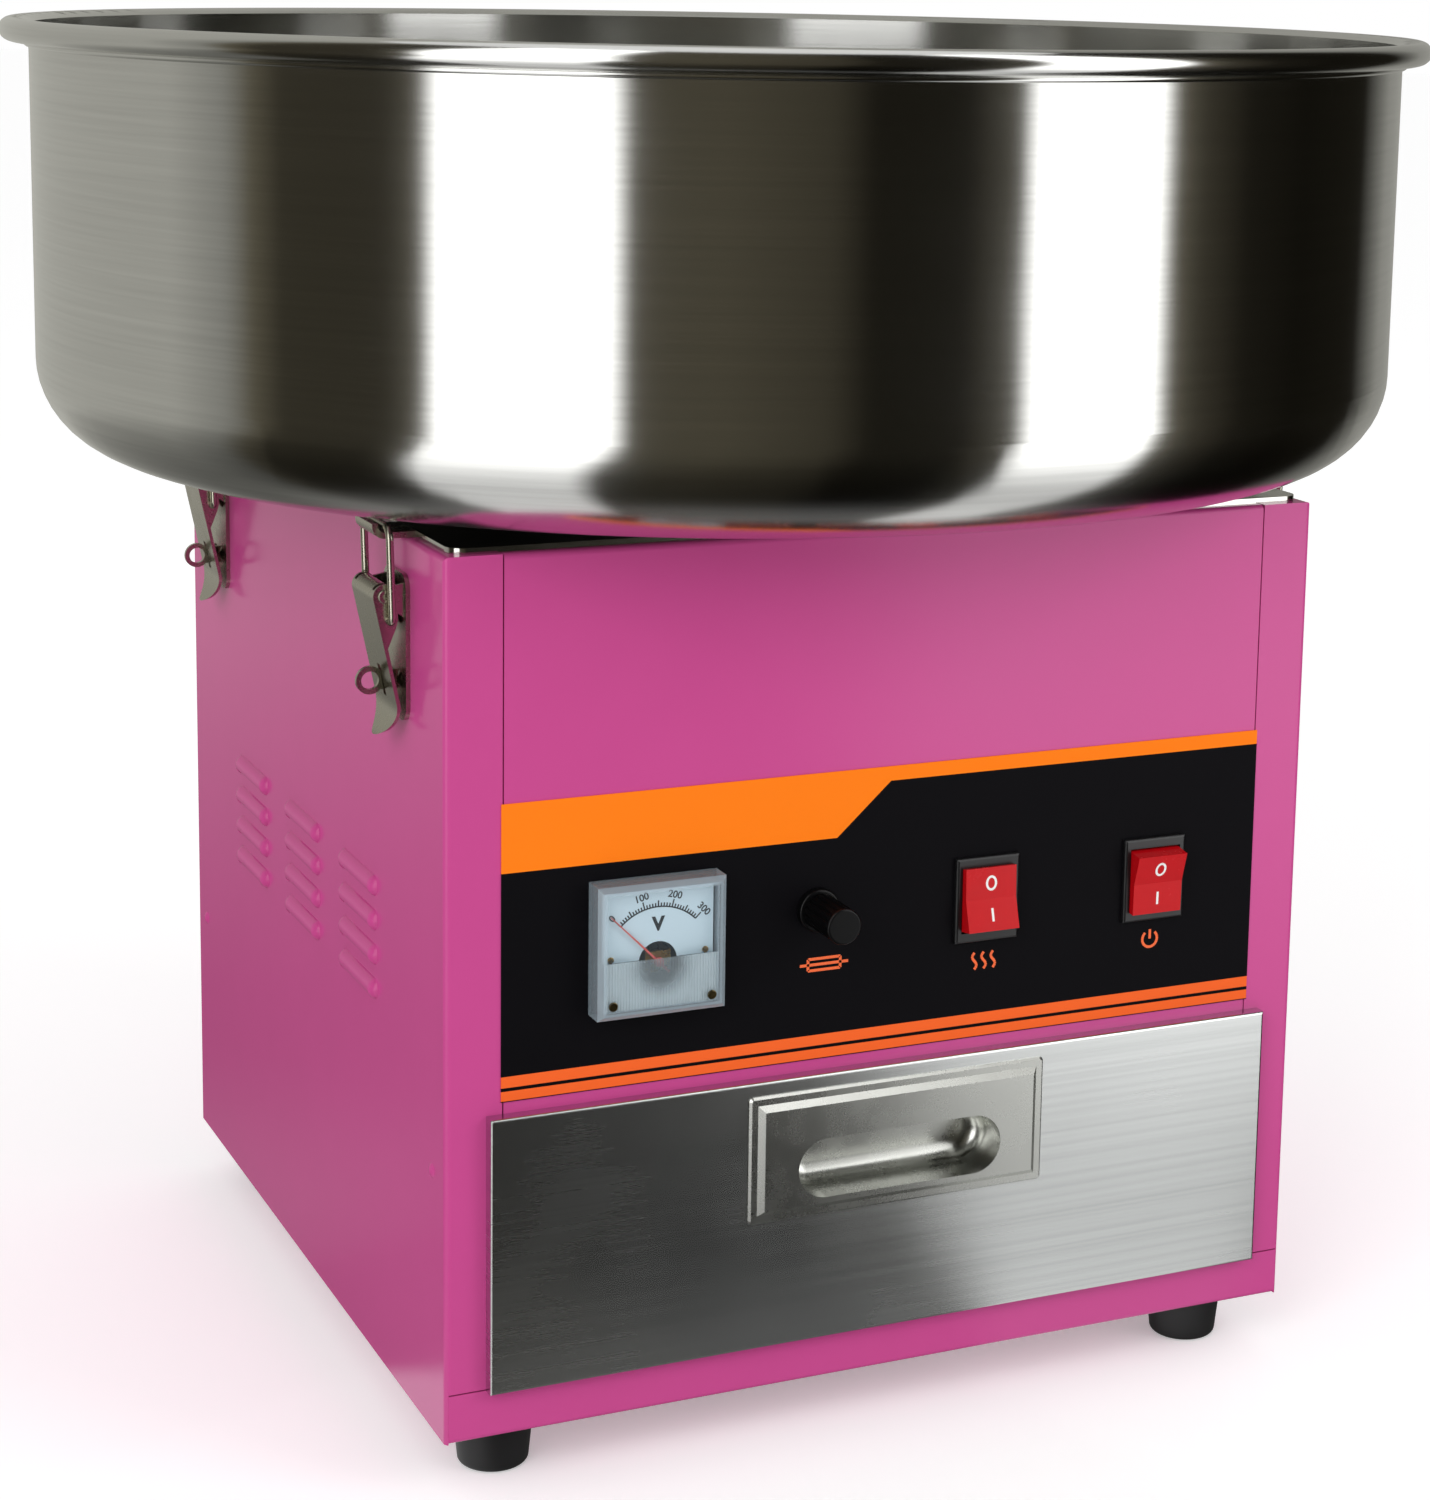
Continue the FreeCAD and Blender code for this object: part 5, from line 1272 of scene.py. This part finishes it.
        near = add_node(tree, "MapRange", {
            "interpolation_type": "SMOOTHSTEP", "From Min": self.near[0], "From Max": self.near[1],
            "To Min": self.near_level, "To Max": 0.0,
        }, {"Value": away}).outputs[0]
        pattern = add_node(tree, "Emission", links={"Color": ramp.outputs[0], "Strength": share})
        plain = add_node(tree, "Emission", links={"Strength": near})
        both = add_node(tree, "AddShader", links={0: pattern.outputs[0], 1: plain.outputs[0]})
        add_node(tree, "OutputMaterial", links={"Surface": both.outputs[0]})
        return material

    def disc(self, name: str, radius: float, drop: float, steps: int) -> bpy.types.Object:
        """Lay a level disc round the Z axis.

        Args:
            name: its name.
            radius: its radius.
            drop: its place below the machine's rest face.
            steps: corners of its outline.

        Returns:
            The disc.
        """
        bpy.ops.object.select_all(action="DESELECT")
        bpy.ops.mesh.primitive_circle_add(vertices=steps, radius=radius, fill_type="NGON",
                                          location=(0, 0, -drop))
        return joined([bpy.context.object], name)

    def surround(self) -> None:
        """Stand the surround round the object, with a card on the floor that mirrors it."""
        bpy.ops.object.select_all(action="DESELECT")
        bpy.ops.mesh.primitive_cylinder_add(vertices=self.surround_steps, radius=self.surround_radius,
                                            depth=self.surround_height, end_fill_type="NOTHING",
                                            location=(0, 0, self.surround_height / 2))
        wall = joined([bpy.context.object], "surround_wall")
        card = self.disc("surround_card", self.surround_radius, self.card_drop, self.surround_steps)
        material = self.surround_material()
        for piece in (wall, card):
            piece.data.materials.append(material)
            piece.visible_camera = False
            piece.visible_diffuse = False
            piece.visible_shadow = False
            piece.visible_transmission = False
            piece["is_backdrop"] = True

    def floor(self) -> None:
        """Lay the pale floor."""
        floor = self.disc("floor", self.floor_radius, self.floor_drop, self.floor_steps)
        material = bpy.data.materials.new("pale studio floor")
        material.use_nodes = True
        tree = material.node_tree
        tree.nodes.clear()
        path = add_node(tree, "LightPath").outputs
        lift = add_node(tree, "Math", {"operation": "MULTIPLY", 1: self.floor_lift},
                        {0: path["Is Camera Ray"]})
        shader = add_node(tree, "BsdfPrincipled", {
            "Base Color": linear(self.floor_colour), "Roughness": 0.8, "Specular IOR Level": 0.1,
            "Emission Color": linear(WHITE),
        }, {"Emission Strength": lift.outputs[0]})
        add_node(tree, "OutputMaterial", links={"Surface": shader.outputs[0]})
        floor.data.materials.append(material)
        floor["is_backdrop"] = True

    def hang(self, lamp: Lamp) -> None:
        """Hang one lamp, which neither the camera nor glossy surfaces see.

        Args:
            lamp: its place, size and power.
        """
        data = bpy.data.lights.new(lamp.name, "AREA")
        data.size = lamp.side
        data.energy = lamp.power
        light = bpy.data.objects.new(lamp.name, data)
        light.location = lamp.place
        ahead = Vector(self.aim) - Vector(lamp.place)
        light.rotation_euler = ahead.to_track_quat("-Z", "Y").to_euler()
        light.visible_camera = False
        light.visible_glossy = False
        bpy.context.scene.collection.objects.link(light)

    def world(self) -> None:
        """Light the room plainly, and show it white to the camera, in gloss and through clear parts."""
        world = bpy.data.worlds.new("studio")
        bpy.context.scene.world = world
        world.use_nodes = True
        tree = world.node_tree
        tree.nodes.clear()
        path = add_node(tree, "LightPath").outputs
        seen = add_node(tree, "Math", {"operation": "MAXIMUM"},
                        {0: path["Is Camera Ray"], 1: path["Is Glossy Ray"]})
        seen = add_node(tree, "Math", {"operation": "MAXIMUM"},
                        {0: seen.outputs[0], 1: path["Is Transmission Ray"]})
        level = add_node(tree, "MapRange", {"To Min": self.room_level, "To Max": 1.0},
                         {"Value": seen.outputs[0]})
        sky = add_node(tree, "Background", {"Color": linear(WHITE)}, {"Strength": level.outputs[0]})
        add_node(tree, "OutputWorld", links={"Surface": sky.outputs[0]})

    def camera(self) -> None:
        """Set up the camera in front of the machine's left corner."""
        yaw, pitch, roll = (math.radians(turn)
                            for turn in (self.camera_yaw, self.camera_pitch, self.camera_roll))
        ahead = Vector((math.sin(yaw) * math.cos(pitch), math.cos(yaw) * math.cos(pitch), -math.sin(pitch)))
        right = Vector((math.cos(yaw), -math.sin(yaw), 0))
        up = right.cross(ahead)
        across = math.cos(roll) * right + math.sin(roll) * up
        upward = math.cos(roll) * up - math.sin(roll) * right
        turn = Matrix((across, upward, -ahead)).transposed()
        data = bpy.data.cameras.new("camera")
        camera = bpy.data.objects.new("camera", data)
        bpy.context.scene.collection.objects.link(camera)
        camera.matrix_world = Matrix.Translation(self.camera_place) @ turn.to_4x4()
        data.sensor_width = self.sensor_mm
        data.lens = self.focal_px / self.image_height * data.sensor_width
        data.shift_x = (self.image_width / 2 - self.middle_px[0]) / self.image_height
        data.shift_y = (self.middle_px[1] - self.image_height / 2) / self.image_height
        data.clip_start, data.clip_end = self.clip
        bpy.context.scene.camera = camera

    def build(self) -> None:
        """Set up the whole studio."""
        bpy.context.scene.view_settings.view_transform = "Standard"
        self.floor()
        self.surround()
        for lamp in self.lamps:
            self.hang(lamp)
        self.world()
        self.camera()
        LOG.info("studio ready")


def corners(box: tuple[Vector, Vector]) -> list[list[float]]:
    """Return a box's two corners as plain lists."""
    return [list(corner) for corner in box]


def main() -> None:
    """Dress and detail the machine, piece by piece, and set up the studio."""
    logging.basicConfig(level=logging.INFO, format="%(name)s: %(message)s")
    cad_box = corners(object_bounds())
    Cabinet().dress()
    Drive().dress()
    Bowl().dress()
    Latches().dress()
    Drawer().dress()
    FuseHolder().dress()
    ControlPlate().build()
    Voltmeter().build()
    RockerSwitch("heat_rocker", "heat_switch_body", -9.0).build()
    RockerSwitch("power_rocker", "power_switch_body", 9.0).build()
    Studio().build()
    {"cad": cad_box, "visual": corners(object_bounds())}


if __name__ == "__main__":
    main()
